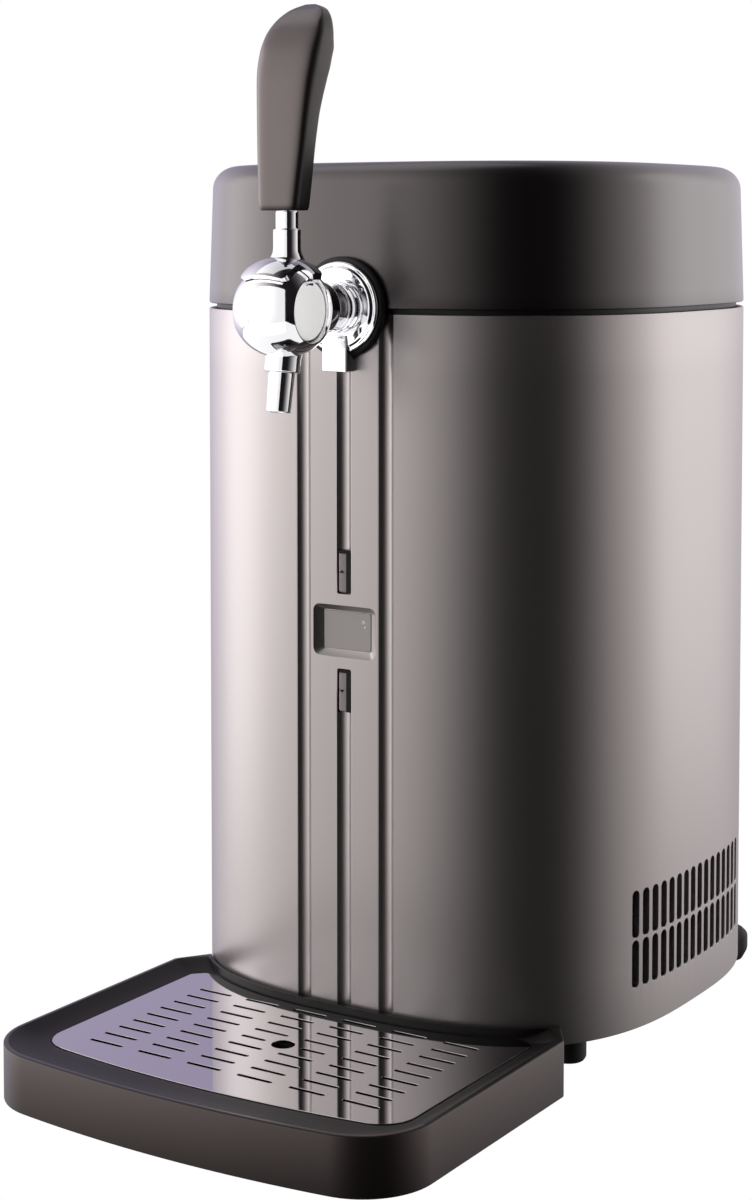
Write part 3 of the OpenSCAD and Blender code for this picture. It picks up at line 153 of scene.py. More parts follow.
# White cards that only the chrome sees, like the close cards round a tap on a photographer's table, and
# one that only the yoke's end discs see.
chrome_only = bpy.data.collections.new("chrome_only")
for card in (softbox("card_front", (-0.55, -1.75, 0.45), (-0.55, -0.1, 0.45), 3.2, 5.0, 49),
             softbox("card_under", (-0.6, -0.6, -0.9), (-0.6, -0.6, 0.39), 4.4, 3.6, 52)):
    card.light_linking.receiver_collection = chrome_only
disc_only = bpy.data.collections.new("disc_only")
side_card = softbox("card_side", (1.2, -0.25, 0.42), (0, -0.12, 0.39), 1.0, 1.0, 9)
side_card.light_linking.receiver_collection = disc_only


# ---- Cabinet shell ---------------------------------------------------------------------------------
# One moulded wall, 3.5 mm thick, on a rounded-square plan, lacquered a satin metallic grey. Three
# upright channels run down the front, and the vents, the display's recess and the button slots are cut.
PLAN = {"Half width": 0.136, "Half depth": 0.1378, "Squareness": 2.86}
CHANNELS = {"Channel width": 0.0086, "Channel depth": 0.0023, "Channel pitch": 0.0253,
            "Edge softness": 0.0003}
WALL = 0.0035
SKIRT_Z, SHELL_TOP, LID_Z, LID_TOP, TAP_Z = 0.018, 0.3889, 0.3915, 0.4663, 0.392
FRONT_Y = AXIS_Y - PLAN["Half depth"]


def plan_edge(value, inset, along, across):
    """How far out the plan reaches across, at a place along it, for half sizes along and across."""
    n = PLAN["Squareness"]
    return (across - inset) * (1 - min(1.0, abs(value) / (along - inset)) ** n) ** (1 / n)


def plan_normal(x, y):
    """The plan's outward direction at a point of it, measured from the axis."""
    n = PLAN["Squareness"] - 1
    gx = np.sign(x) * (abs(x) / PLAN["Half width"]) ** n / PLAN["Half width"]
    gy = np.sign(y) * (abs(y) / PLAN["Half depth"]) ** n / PLAN["Half depth"]
    return np.array([gx, gy]) / math.hypot(gx, gy)


def piece(name, points, faces, material, body=None, smooth=30.0, slot=None, replaces=()):
    """A mesh object of the object's own. Edges sharper than smooth degrees stay sharp."""
    obj = mesh_object(name, points, faces=faces)
    finish_piece(obj, material, body, smooth, replaces)
    return obj


def finish_piece(obj, material, body, smooth, replaces):
    """Shading, material, body and replaced nodes of a piece, each where it is given."""
    mesh = obj.data
    mesh.validate()
    if smooth is not None:
        mesh.shade_smooth()
        mesh.set_sharp_from_angle(angle=math.radians(smooth))
    if material is not None:
        mesh.materials.clear()
        mesh.materials.append(material)
    if body is not None:
        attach(obj, body)
    if replaces:
        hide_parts(*replaces)


def applied(obj):
    """obj with its modifiers made real."""
    deps = bpy.context.evaluated_depsgraph_get()
    made = obj.evaluated_get(deps)
    mesh = bpy.data.meshes.new_from_object(made, preserve_all_data_layers=True, depsgraph=deps)
    obj.modifiers.clear()
    obj.data = mesh
    return obj


def loft(rings, closed=False, caps=True):
    """Points and faces over rings of equal length. Rings run anticlockwise seen from the last one."""
    count, size = len(rings), len(rings[0])
    points = [p for ring in rings for p in ring]
    faces = []
    for j in range(count if closed else count - 1):
        a, b = j * size, (j + 1) % count * size
        faces += [(a + i, a + (i + 1) % size, b + (i + 1) % size, b + i) for i in range(size)]
    if caps and not closed:
        faces += [tuple(range(size - 1, -1, -1)), tuple(range((count - 1) * size, count * size))]
    return points, faces


def joined(*parts):
    """Several parts' points and faces as one part's."""
    points, faces = [], []
    for more_points, more_faces in parts:
        faces += [tuple(i + len(points) for i in f) for f in more_faces]
        points += list(more_points)
    return points, faces


def around(steps):
    """Angles all the way round."""
    return np.linspace(0, 2 * math.pi, steps, endpoint=False)


def lathe(profile, steps=96, closed=False, axis="z", at=(0, 0, 0), tilt=0.0):
    """A profile of (radius, height) turned about an axis. An end with radius 0 closes on a point ring."""
    turn = {"z": Matrix.Identity(3), "x": Matrix.Rotation(math.pi / 2, 3, "Y"),
            "y": Matrix.Rotation(-math.pi / 2, 3, "X")}[axis]
    turn = Matrix.Rotation(tilt, 3, "X") @ turn
    rings = [[tuple(turn @ Vector((r * math.cos(t), r * math.sin(t), h)) + Vector(at))
              for t in around(steps)] for r, h in profile]
    return loft(rings, closed=closed)


def new_group(name, kind, sockets, outputs=(("Geometry", "NodeSocketGeometry"),)):
    """A node group with its input node and output node, its inputs given as (name, type, value)."""
    group = bpy.data.node_groups.new(name, kind)
    for label, socket_type, *value in sockets:
        made = group.interface.new_socket(name=label, in_out="INPUT", socket_type=socket_type)
        if value:
            made.default_value = value[0]
    for label, socket_type in outputs:
        group.interface.new_socket(name=label, in_out="OUTPUT", socket_type=socket_type)
    return group, group.nodes.new("NodeGroupInput"), group.nodes.new("NodeGroupOutput")


def end_group(group, geometry, material, result):
    """The group gives back the geometry in that material."""
    painted = add(group, "GeometryNodeSetMaterial", {"Geometry": geometry, "Material": material})
    group.links.new(painted.outputs[0], result.inputs[0])
    return group


def apply_group(obj, group, values):
    """Runs a Geometry Nodes group on obj with its named inputs set, and makes the result real."""
    modifier = obj.modifiers.new(group.name, "NODES")
    modifier.node_group = group
    for item in group.interface.items_tree:
        if item.item_type == "SOCKET" and item.in_out == "INPUT" and item.name in values:
            modifier[item.identifier] = values[item.name]
    return applied(obj)


def bend_round_plan():
    """Geometry Nodes: a strip whose X is the angle and Y the inset is bent round the cabinet's plan."""
    floats = [*PLAN, *CHANNELS, "Fade inset", "Axis Y", "Break middle", "Break half"]
    group, given, result = new_group("Bend round plan", "GeometryNodeTree", [
        ("Geometry", "NodeSocketGeometry"), *[(name, "NodeSocketFloat", 0.0) for name in floats],
        ("Material", "NodeSocketMaterial")])
    value = given.outputs

    def m(operation, *values):
        """A Math node of this group."""
        return math_node(group, operation, *values)

    def reach(part, half_size):
        """One term of the plan's formula, from the angle's cosine or sine."""
        share = m("DIVIDE", m("ABSOLUTE", part), m("SUBTRACT", half_size, inset))
        return m("POWER", share, value["Squareness"])

    place = add(group, "GeometryNodeInputPosition")
    angle, inset, height = add(group, "ShaderNodeSeparateXYZ", {0: place.outputs[0]}).outputs
    cosine, sine = m("COSINE", angle), m("SINE", angle)
    terms = m("ADD", reach(cosine, value["Half width"]), reach(sine, value["Half depth"]))
    radius = m("POWER", terms, m("DIVIDE", -1.0, value["Squareness"]))
    x, y = m("MULTIPLY", radius, cosine), m("MULTIPLY", radius, sine)
    half = m("MULTIPLY", value["Channel width"], 0.5)
    depth = value["Channel depth"]
    squares = m("ADD", m("MULTIPLY", half, half), m("MULTIPLY", depth, depth))
    curve = m("DIVIDE", squares, m("MULTIPLY", depth, 2.0))
    total = 0.0
    for k in (-1.0, 0.0, 1.0):
        off = m("SUBTRACT", x, m("MULTIPLY", value["Channel pitch"], k))
        left = m("SUBTRACT", m("MULTIPLY", curve, curve), m("MULTIPLY", off, off))
        arc = m("SQRT", m("MAXIMUM", left, 0.0))
        dip = m("SUBTRACT", arc, m("SUBTRACT", curve, depth))
        dip = m("SMOOTH_MAX", dip, 0.0, value["Edge softness"])
        if k == 0:
            away = m("ABSOLUTE", m("SUBTRACT", height, value["Break middle"]))
            dip = m("MULTIPLY", dip, m("GREATER_THAN", away, value["Break half"]))
        total = m("ADD", total, dip)
    front = m("LESS_THAN", y, 0.0)
    fade = m("MAXIMUM", m("SUBTRACT", 1.0, m("DIVIDE", inset, value["Fade inset"])), 0.0)
    y = m("ADD", m("ADD", y, m("MULTIPLY", m("MULTIPLY", total, front), fade)), value["Axis Y"])
    bent = add(group, "ShaderNodeCombineXYZ", {0: x, 1: y, 2: height})
    moved = add(group, "GeometryNodeSetPosition", {"Geometry": value["Geometry"],
                                                   "Position": bent.outputs[0]})
    return end_group(group, moved.outputs[0], value["Material"], result)


def cut_on_points():
    """Geometry Nodes: a cutter is put on every point, turned by its angle, and all are cut away."""
    group, given, result = new_group("Cut on points", "GeometryNodeTree", [
        ("Geometry", "NodeSocketGeometry"), ("Points", "NodeSocketObject"), ("Cutter", "NodeSocketObject"),
        ("Material", "NodeSocketMaterial")])
    value = given.outputs
    points = add(group, "GeometryNodeObjectInfo", {"Object": value["Points"]})
    cutter = add(group, "GeometryNodeObjectInfo", {"Object": value["Cutter"]})
    turn = add(group, "GeometryNodeInputNamedAttribute", {"Name": "turn"}, data_type="FLOAT")
    angle = add(group, "ShaderNodeCombineXYZ", {2: turn.outputs[0]})
    stretch = add(group, "GeometryNodeInputNamedAttribute", {"Name": "stretch"}, data_type="FLOAT")
    scale = add(group, "ShaderNodeCombineXYZ", {0: stretch.outputs[0], 1: 1.0, 2: 1.0})
    placed = add(group, "GeometryNodeInstanceOnPoints", {
        "Points": points.outputs["Geometry"], "Instance": cutter.outputs["Geometry"],
        "Rotation": angle.outputs[0], "Scale": scale.outputs[0]})
    real = add(group, "GeometryNodeRealizeInstances", {0: placed.outputs[0]})
    less = add(group, "GeometryNodeMeshBoolean", {"Mesh 1": value["Geometry"], "Mesh 2": real.outputs[0]},
               operation="DIFFERENCE")
    return end_group(group, less.outputs[0], value["Material"], result)


def cutting_points(name, rows):
    """A mesh of loose points from (x, y, z, turn, stretch) rows."""
    obj = mesh_object(name, [r[:3] for r in rows])
    for k, label in enumerate(("turn", "stretch")):
        marks = obj.data.attributes.new(label, "FLOAT", "POINT")
        marks.data.foreach_set("value", [r[3 + k] for r in rows])
    return obj


def cut(obj, rows, cutter, material):
    """Cuts the cutter's form out of obj at every row's place."""
    points = cutting_points(obj.name + "_points", rows)
    tool = mesh_object(obj.name + "_cutter", cutter[0], faces=cutter[1])
    apply_group(obj, CUT, {"Points": points, "Cutter": tool, "Material": material})
    for spent in (points, tool):
        bpy.data.objects.remove(spent)


def rounded_ring(width, height, radius, y, steps=6):
    """A rounded rectangle in X and Z at that Y, anticlockwise seen from -Y."""
    ring = []
    for cx, cz, start in ((1, 1, 0), (-1, 1, 90), (-1, -1, 180), (1, -1, 270)):
        for k in range(steps + 1):
            a = math.radians(start + 90 * k / steps)
            ring.append((cx * (width / 2 - radius) + radius * math.cos(a), y,
                         cz * (height / 2 - radius) + radius * math.sin(a)))
    return ring


def window_cutter(levels):
    """A cutter through rounded rectangles, from (y, width, height, radius) rows going inwards (+Y)."""
    return loft([rounded_ring(w, h, r, y)[::-1] for y, w, h, r in levels])


BEND, CUT = bend_round_plan(), cut_on_points()


def grain_group():
    """Shader group: the small unevenness of a moulded or lacquered surface, from object coordinates."""
    group, given, result = new_group("Surface grain", "ShaderNodeTree", [
        ("Color", "NodeSocketColor", (0.5, 0.5, 0.5, 1)), ("Shade", "NodeSocketFloat", 0.04),
        ("Roughness", "NodeSocketFloat", 0.4), ("Spread", "NodeSocketFloat", 0.05),
        ("Grain size", "NodeSocketFloat", 1500.0), ("Cloud size", "NodeSocketFloat", 18.0),
        ("Stretch", "NodeSocketVector", (1, 1, 1))],
        [("Color", "NodeSocketColor"), ("Roughness", "NodeSocketFloat"), ("Height", "NodeSocketFloat")])
    value = given.outputs
    where = add(group, "ShaderNodeTexCoord").outputs["Object"]
    spot = add(group, "ShaderNodeVectorMath", {0: where, 1: value["Stretch"]}, operation="MULTIPLY")
    grain = add(group, "ShaderNodeTexNoise", {"Vector": spot.outputs[0], "Scale": value["Grain size"],
                                              "Detail": 2.0})
    cloud = add(group, "ShaderNodeTexNoise", {"Vector": where, "Scale": value["Cloud size"], "Detail": 5.0})
    both = math_node(group, "ADD", math_node(group, "MULTIPLY", grain.outputs[0], 0.6),
                     math_node(group, "MULTIPLY", cloud.outputs[0], 0.4))
    swing = math_node(group, "MULTIPLY", math_node(group, "SUBTRACT", both, 0.5), 2.0)
    shade = math_node(group, "ADD", math_node(group, "MULTIPLY", swing, value["Shade"]), 1.0)
    tint = add(group, "ShaderNodeVectorMath", {0: value["Color"], "Scale": shade}, operation="SCALE")
    rough = math_node(group, "ADD", math_node(group, "MULTIPLY", swing, value["Spread"]), value["Roughness"])
    for k, out in enumerate((tint.outputs[0], rough, grain.outputs[0])):
        group.links.new(out, result.inputs[k])
    return group


GRAIN = grain_group()


def surface(name, color, shade=0.05, rough=0.4, spread=0.05, grain=1500.0, cloud=18.0, stretch=(1, 1, 1),
            bump=0.0, **shader):
    """A Principled material with the grain group on its colour, roughness and bump height."""
    material = bpy.data.materials.new(name)
    material.use_nodes = True
    tree = material.node_tree
    tree.nodes.clear()
    detail = tree.nodes.new("ShaderNodeGroup")
    detail.node_tree = GRAIN
    for key, value in {"Color": (*color, 1), "Shade": shade, "Roughness": rough, "Spread": spread,
                       "Grain size": grain, "Cloud size": cloud, "Stretch": stretch}.items():
        detail.inputs[key].default_value = value
    more = {key.replace("_", " "): value for key, value in shader.items()}
    principled = add(tree, "ShaderNodeBsdfPrincipled", {"Base Color": detail.outputs[0],
                                                        "Roughness": detail.outputs[1], **more})
    if bump:
        relief = add(tree, "ShaderNodeBump", {"Height": detail.outputs[2], "Strength": 1.0,
                                              "Distance": bump})
        tree.links.new(relief.outputs[0], principled.inputs["Normal"])
    add(tree, "ShaderNodeOutputMaterial", {"Surface": principled.outputs[0]})
    return material


def shader_of(material):
    """A material's Principled node."""
    return next(node for node in material.node_tree.nodes if node.type == "BSDF_PRINCIPLED")


lacquer = surface("grey_lacquer", (0.46, 0.43, 0.425), 0.04, 0.35, 0.03, grain=2600.0, bump=0.00001,
                  Metallic=0.9)
black_inside = surface("black_plastic", (0.018, 0.018, 0.019), 0.15, 0.42, 0.06, bump=0.00002)


def strip(stations, angles, closed):
    """A flat strip for BEND: columns at the angles, rows at (z, inset) stations."""
    rings = [[(a, inset, z) for a in angles] for z, inset in stations]
    return loft(rings, closed=closed, caps=not closed)


# The columns are close together over the channels, and the rows where the middle channel breaks off.
BAND_HALF, FINE_STEP = 0.0325, 0.0004
ROUND_STEPS = around(480)
DISPLAY_Z, BUTTON_OFF, BREAK_EDGE = 0.2245, 0.031, 0.002
fine = [math.atan2(-PLAN["Half depth"], x) % (2 * math.pi)
        for x in np.arange(-BAND_HALF, BAND_HALF + 0.00001, FINE_STEP)]
shell_angles = sorted([*fine, *[a for a in ROUND_STEPS if not min(fine) <= a <= max(fine)]])
breaks = [DISPLAY_Z + side * (BUTTON_OFF + step) for side in (-1, 1) for step in (-BREAK_EDGE, BREAK_EDGE)]
levels = sorted([*np.linspace(SKIRT_Z + 0.001, SHELL_TOP - 0.001, 13), *breaks])
stations = [(SKIRT_Z + 0.0003, 0.0001), *[(z, 0.0) for z in levels], (SHELL_TOP - 0.0003, 0.0003),
            (SHELL_TOP, 0.0010), (SHELL_TOP, WALL), *[(z, WALL) for z in levels[::-1]], (SKIRT_Z, WALL),
            (SKIRT_Z, 0.0007)]
shell = piece("shell", *strip(stations, shell_angles, True), None, smooth=None)
apply_group(shell, BEND, {**PLAN, **CHANNELS, "Fade inset": WALL, "Axis Y": AXIS_Y, "Material": lacquer,
                          "Break middle": DISPLAY_Z, "Break half": BUTTON_OFF})

VENT_W, VENT_LEN, VENT_PITCH, VENT_BAR, VENT_Z = 0.005, 0.0245, 0.00835, 0.0016, 0.040
SIDE_VENTS, BACK_VENTS, BACK_VENT_RISE = 16, 11, 0.03025


def stadium_ring(grow, y):
    """A vent slot's outline in X and Z, grown all round."""
    r = VENT_W / 2 + grow
    return [(r * math.cos(a), y, middle + r * math.sin(a))
            for middle, start in ((VENT_LEN - VENT_W / 2, 0), (VENT_W / 2, math.pi))
            for a in np.linspace(start, start + math.pi, 11)]


def vent_row(x, y, z):
    """A vent slot at a point of the plan, measured from the axis, and turned to look outwards there."""
    nx, ny = plan_normal(x, y)
    return x, y + AXIS_Y, z, math.atan2(ny, nx) + math.pi / 2, 1.0


vent_rows = []
for row in (0, 1):
    z = VENT_Z + row * (VENT_LEN + VENT_BAR)
    for side in (-1, 1):
        for k in range(SIDE_VENTS):
            y = (k - (SIDE_VENTS - 1) / 2) * VENT_PITCH
            x = side * plan_edge(y, 0, PLAN["Half depth"], PLAN["Half width"])
            vent_rows.append(vent_row(x, y, z))
    for k in range(BACK_VENTS):
        x = (k - (BACK_VENTS - 1) / 2) * VENT_PITCH
        y = plan_edge(x, 0, PLAN["Half width"], PLAN["Half depth"])
        vent_rows.append(vent_row(x, y, z + BACK_VENT_RISE))
vent_cutter = loft([stadium_ring(grow, y)[::-1] for grow, y in (
    (0.0007, -0.0004), (0.0003, 0.0001), (0.0, 0.0004), (0.0, 0.008))])
cut(shell, vent_rows, vent_cutter, lacquer)

display_cutter = window_cutter([
    (-0.0012, 0.0412, 0.0292, 0.0045), (0.0, 0.0390, 0.0270, 0.0040), (0.0005, 0.0380, 0.0262, 0.0038),
    (0.0032, 0.0300, 0.0210, 0.0015), (0.0033, 0.0296, 0.0206, 0.0012), (0.007, 0.0296, 0.0206, 0.0012)])
cut(shell, [(0, FRONT_Y, DISPLAY_Z, 0.0, 1.0)], display_cutter, lacquer)
slot_cutter = window_cutter([(-0.001, 0.0089, 0.0235, 0.0012), (0.0023, 0.0078, 0.0224, 0.0007),
                             (0.0026, 0.0076, 0.0222, 0.0006), (0.007, 0.0076, 0.0222, 0.0006)])
slot_rows = [(0, FRONT_Y, DISPLAY_Z + side * BUTTON_OFF, 0.0, 1.0) for side in (-1, 1)]
cut(shell, slot_rows, slot_cutter, lacquer)
INLET_Z, SHANK_R = 0.046, 0.0098
inlet_cutter = window_cutter([(-0.006, 0.0286, 0.0211, 0.001), (0.002, 0.0286, 0.0211, 0.001)])
cut(shell, [(0, AXIS_Y + PLAN["Half depth"], INLET_Z, 0.0, 1.0)], inlet_cutter, lacquer)
cradle = lathe([(SHANK_R, -0.006), (SHANK_R, 0.012)], axis="y")
cut(shell, [(0, FRONT_Y, TAP_Z, 0.0, 1.0)], cradle, lacquer)
finish_piece(shell, lacquer, "cabinet", 30.0, ["cabinet_shell"])


def add_to(obj, *parts):
    """More closed parts in the same mesh."""
    points, faces = joined(*parts)
    work = bmesh.new()
    work.from_mesh(obj.data)
    corners = [work.verts.new(tuple(map(float, p))) for p in points]
    for face in faces:
        work.faces.new([corners[i] for i in face])
    work.to_mesh(obj.data)
    work.free()


# ---- Lid -------------------------------------------------------------------------------------------
# One moulded cap of dark satin plastic with a leaning side and a rounded top edge. A round-topped notch
# lets it down over the tap's shank, and four screw posts hang from its ceiling.
LID_WALL, LID_DRAFT, LID_EDGE = 0.0026, 0.0024, 0.012
POST_X, POST_Y, POST_R, POST_HOLE, POST_FOOT, POST_TOP = 0.086, 0.072, 0.004, 0.0013, 0.4387, 0.4642
lid_plastic = surface("lid_plastic", (0.055, 0.045, 0.044), 0.04, 0.34, 0.03, grain=1900.0, bump=0.00001,
                      Metallic=0.9, Coat_Weight=0.85, Coat_Roughness=0.30, Coat_IOR=1.75)


def cap_side(grow, top, radius):
    """Stations up the leaning side, round the top edge and in to the middle."""
    rows = [(z, grow) for z in np.linspace(LID_Z + 0.0008, top - radius - 0.001, 9)]
    for a in np.linspace(0, math.pi / 2, 15):
        rows.append((top - radius + radius * math.sin(a), grow + radius * (1 - math.cos(a))))
    rows += [(top, inset) for inset in (0.03, 0.06, 0.09, 0.12)]
    return [(z, inset + LID_DRAFT * (z - LID_Z) / (LID_TOP - LID_Z)) for z, inset in rows]


stations = (cap_side(LID_WALL, LID_TOP - LID_WALL, LID_EDGE - LID_WALL)[::-1]
            + [(LID_Z, LID_WALL), (LID_Z, 0.0007), (LID_Z + 0.0003, 0.0002)]
            + cap_side(0.0, LID_TOP, LID_EDGE))
lid = piece("lid", *strip(stations, ROUND_STEPS, False), None, smooth=None)
NO_CHANNEL = {"Channel depth": 1e-6, "Edge softness": 1e-6, "Fade inset": 0.001}
apply_group(lid, BEND, {**PLAN, **CHANNELS, **NO_CHANNEL, "Axis Y": AXIS_Y, "Material": lid_plastic})


def arch_ring(radius, y):
    """A round-topped slot round the shank, open downwards."""
    top = [(radius * math.cos(a), y, radius * math.sin(a)) for a in np.linspace(0, math.pi, 25)]
    return (top + [(-radius, y, -0.03), (radius, y, -0.03)])[::-1]


notch_cutter = loft([arch_ring(r, y) for r, y in (
    (0.0134, -0.002), (0.0128, 0.0), (0.0125, 0.0005), (0.0125, 0.010))])
cut(lid, [(0, FRONT_Y, TAP_Z, 0.0, 1.0)], notch_cutter, lid_plastic)
post = [(POST_R, POST_FOOT), (POST_R, POST_TOP), (POST_HOLE, POST_TOP), (POST_HOLE, POST_FOOT)]
add_to(lid, *[lathe(post, 32, True, at=(sx * POST_X, AXIS_Y + sy * POST_Y, 0))
              for sx in (-1, 1) for sy in (-1, 1)])
finish_piece(lid, lid_plastic, "lid", 30.0, ["lid_cover"])


# ---- Drip tray -------------------------------------------------------------------------------------
# A moulded tray with a bowed front and round corners, dark satin plastic. Its rear follows the cabinet,
# its rim dishes down to the steel plate, and a basin under the plate takes the drips.
TRAY_W, TRAY_H, TRAY_FRONT, TRAY_BOW = 0.2438, 0.0288, 0.2932, 0.671
TRAY_REAR, PLATE_Z, PLATE_TOP, LEDGE, TRAY_WALL, FIT = -0.124, 0.0230, 0.0242, 0.004, 0.0025, 0.0003
TRAY_CORNER, TRAY_CHAMFER, TRAY_GAP, TRAY_REAR_R, TRAY_EDGE = 0.037, 0.0119, 0.0005, 0.003, 0.0009
RIM_SIDE, RIM_FRONT, RIM_REAR, PLATE_CORNER, PLATE_REAR_R = 0.0159, 0.0298, 0.0034, 0.018, 0.008
tray_plastic = surface("tray_plastic", (0.105, 0.088, 0.084), 0.07, 0.32, 0.05, grain=1900.0, bump=0.00001,
                       Metallic=0.8)


def arc(cx, cy, r, start, end, steps):
    """Points along an arc of a circle, from one angle to another."""
    return [(cx + r * math.cos(a), cy + r * math.sin(a)) for a in np.linspace(start, end, steps + 1)]


def rounded_corner(a, b, c, r, steps):
    """The arc that rounds the corner at b, on the way from a to c."""
    a, b, c = map(np.array, (a, b, c))
    u, v = (a - b) / np.linalg.norm(a - b), (c - b) / np.linalg.norm(c - b)
    half = math.acos(u @ v) / 2
    middle = b + (u + v) / np.linalg.norm(u + v) * r / math.sin(half)
    p, q = b + u * r / math.tan(half) - middle, b + v * r / math.tan(half) - middle
    start = math.atan2(p[1], p[0])
    turn = (math.atan2(q[1], q[0]) - start + 3 * math.pi) % (2 * math.pi) - math.pi
    return arc(*middle, r, start, start + turn, steps)


ARC_GAP = 0.004        # radians between the bow's last point and the corner's first


def tray_ring(z, side, front_edge, corner, rear_x, gap, rear_r):
    """The tray's plan at height z: bowed front, round corner, rear corner, then along the cabinet."""
    hw, hd = PLAN["Half width"], PLAN["Half depth"]
    bow_y = TRAY_BOW - TRAY_FRONT
    bow, cx = bow_y + front_edge, side - corner
    cy = bow_y - math.sqrt((bow - corner) ** 2 - cx * cx)
    a = math.atan2(cy - bow_y, cx)
    back = (rear_x, -plan_edge(rear_x, -gap, hw, hd))
    half = (arc(0, bow_y, bow, -math.pi / 2, a - ARC_GAP, 24) + arc(cx, cy, corner, a, 0, 20)
            + rounded_corner((side, cy), (side, TRAY_REAR), back, rear_r, 8)
            + [(x, -plan_edge(x, -gap, hw, hd)) for x in np.linspace(rear_x, 0, 40)])
    return [(x, y + AXIS_Y, z) for x, y in half + [(-x, y) for x, y in half[-2:0:-1]]]


def rim_ring(z, t):
    """The tray's outline at height z, set in by t."""
    side = TRAY_W / 2 - t
    return tray_ring(z, side, TRAY_FRONT - t, TRAY_CORNER - t, side - TRAY_CHAMFER, TRAY_GAP + t, TRAY_REAR_R)


def plate_ring(z, t):
    """The plate's outline at height z, set in by t."""
    rear_x = plan_edge(TRAY_REAR, -RIM_REAR, PLAN["Half depth"], PLAN["Half width"])
    return tray_ring(z, TRAY_W / 2 - RIM_SIDE - t, TRAY_FRONT - RIM_FRONT - t, PLATE_CORNER - t, rear_x,
                     RIM_REAR + t, PLATE_REAR_R)


groove_z = PLATE_Z - TRAY_WALL - 0.0005
rings = [plate_ring(0, LEDGE - TRAY_WALL), plate_ring(groove_z, LEDGE - TRAY_WALL),
         rim_ring(groove_z, TRAY_WALL), rim_ring(0, TRAY_WALL), rim_ring(0, 0.0007),
         rim_ring(0.0002, 0.0002), rim_ring(0.0008, 0)]
rings += [rim_ring(TRAY_H - TRAY_EDGE + TRAY_EDGE * math.sin(a), TRAY_EDGE * (1 - math.cos(a)))
          for a in np.linspace(0, math.pi / 2, 6)]
outer, inner = np.array(rim_ring(TRAY_H, 0.0024)), np.array(plate_ring(PLATE_TOP - 0.0004, -FIT - 0.0006))
rings += [outer + (inner - outer) * (t, t, min(1.0, t + 0.18 * math.sin(math.pi * t)))
          for t in np.linspace(0, 1, 9)]
rings += [plate_ring(PLATE_TOP - 0.0006, -FIT - 0.0001), plate_ring(PLATE_TOP - 0.0009, -FIT),
          plate_ring(PLATE_Z - FIT, -FIT), plate_ring(PLATE_Z - FIT, LEDGE), plate_ring(0.0045, LEDGE),
          plate_ring(0.003, LEDGE + 0.0015)]
tray = piece("tray", *loft([list(map(tuple, ring)) for ring in rings]), tray_plastic, "tray", 28.0,
             "tray_plastic", ["drip_tray"])


def marked(obj, mark, domain, values, darker, rougher, less_metallic):
    """Puts a mark on the mesh; where it is 1, the object's material is darker, rougher and less metallic."""
    obj.data.attributes.new(mark, "FLOAT", domain).data.foreach_set("value", values)
    material = obj.data.materials[0]
    tree, inputs = material.node_tree, shader_of(material).inputs
    color, roughness = (inputs[name].links[0].from_socket for name in ("Base Color", "Roughness"))
    fac = add(tree, "ShaderNodeAttribute", attribute_name=mark).outputs["Fac"]
    dark = math_node(tree, "MULTIPLY_ADD", fac, -darker, 1.0)
    toned = add(tree, "ShaderNodeVectorMath", {0: color, "Scale": dark}, operation="SCALE").outputs[0]
    rough = math_node(tree, "MULTIPLY_ADD", fac, rougher, roughness)
    plain = math_node(tree, "MULTIPLY_ADD", fac, -less_metallic, inputs["Metallic"].default_value)
    for name, value in (("Base Color", toned), ("Roughness", rough), ("Metallic", plain)):
        tree.links.new(value, inputs[name])


BASIN_X, BASIN_Y, BASIN_Z, DISH_TILT = 0.1064, -0.2655, 0.0035, 0.2


def in_dish(face):
    """1 for a face of the dished rim or of the basin, 0 for any other face of the tray."""
    x, y, z = face.center
    rim = face.normal.z > DISH_TILT and z < TRAY_H - 0.0001
    basin = abs(x) < BASIN_X and y - AXIS_Y > BASIN_Y
    return float(z > BASIN_Z and (rim or basin))


# The up-facing faces of the dished rim and the basin are made nearly black, rougher and less metallic.
marked(tray, "dish", "FACE", [in_dish(face) for face in tray.data.polygons], 0.93, 0.22, 0.8)


def bevelled(obj, width, segments=3, angle=40):
    """obj with a rounded edge wherever two faces meet at more than that angle."""
    modifier = obj.modifiers.new("bevel", "BEVEL")
    modifier.width, modifier.segments = width, segments
    modifier.limit_method, modifier.angle_limit = "ANGLE", math.radians(angle)
    return applied(obj)


# ---- Drip plate ------------------------------------------------------------------------------------
# A mirror-polished steel sheet, 1.2 mm thick, laid loose on the tray's ledge. It is punched with six
# columns of drain slots in nine rows and a finger hole to lift it by.
plate_steel = surface("plate_steel", (0.62, 0.61, 0.62), 0.02, 0.045, 0.015, grain=900.0, cloud=9.0,
                      Metallic=1.0)
SLOT_ROW, SLOT_COL, SLOT_LEN, SLOT_R, SLOT_END, FINGER = 0.01145, 0.0304, 0.020, 0.0013, 0.001, 0.006
SLOT_MID = -PLAN["Half depth"] - 0.0098 - 4 * SLOT_ROW


def slot_outline():
    """Outline of one drain slot in X and Y."""
    half = SLOT_LEN / 2 - SLOT_END
    return [(side * half + SLOT_R * math.cos(a), SLOT_R * math.sin(a), 0.0)
            for side, start in ((1, -math.pi / 2), (-1, math.pi / 2))
            for a in np.linspace(start, start + math.pi, 9)]


def outline_object(name, *outlines):
    """An object of closed outlines, each a ring of edges."""
    edges, first = [], 0
    for ring in outlines:
        edges += [(first + i, first + (i + 1) % len(ring)) for i in range(len(ring))]
        first += len(ring)
    return mesh_object(name, sum(outlines, []), edges)


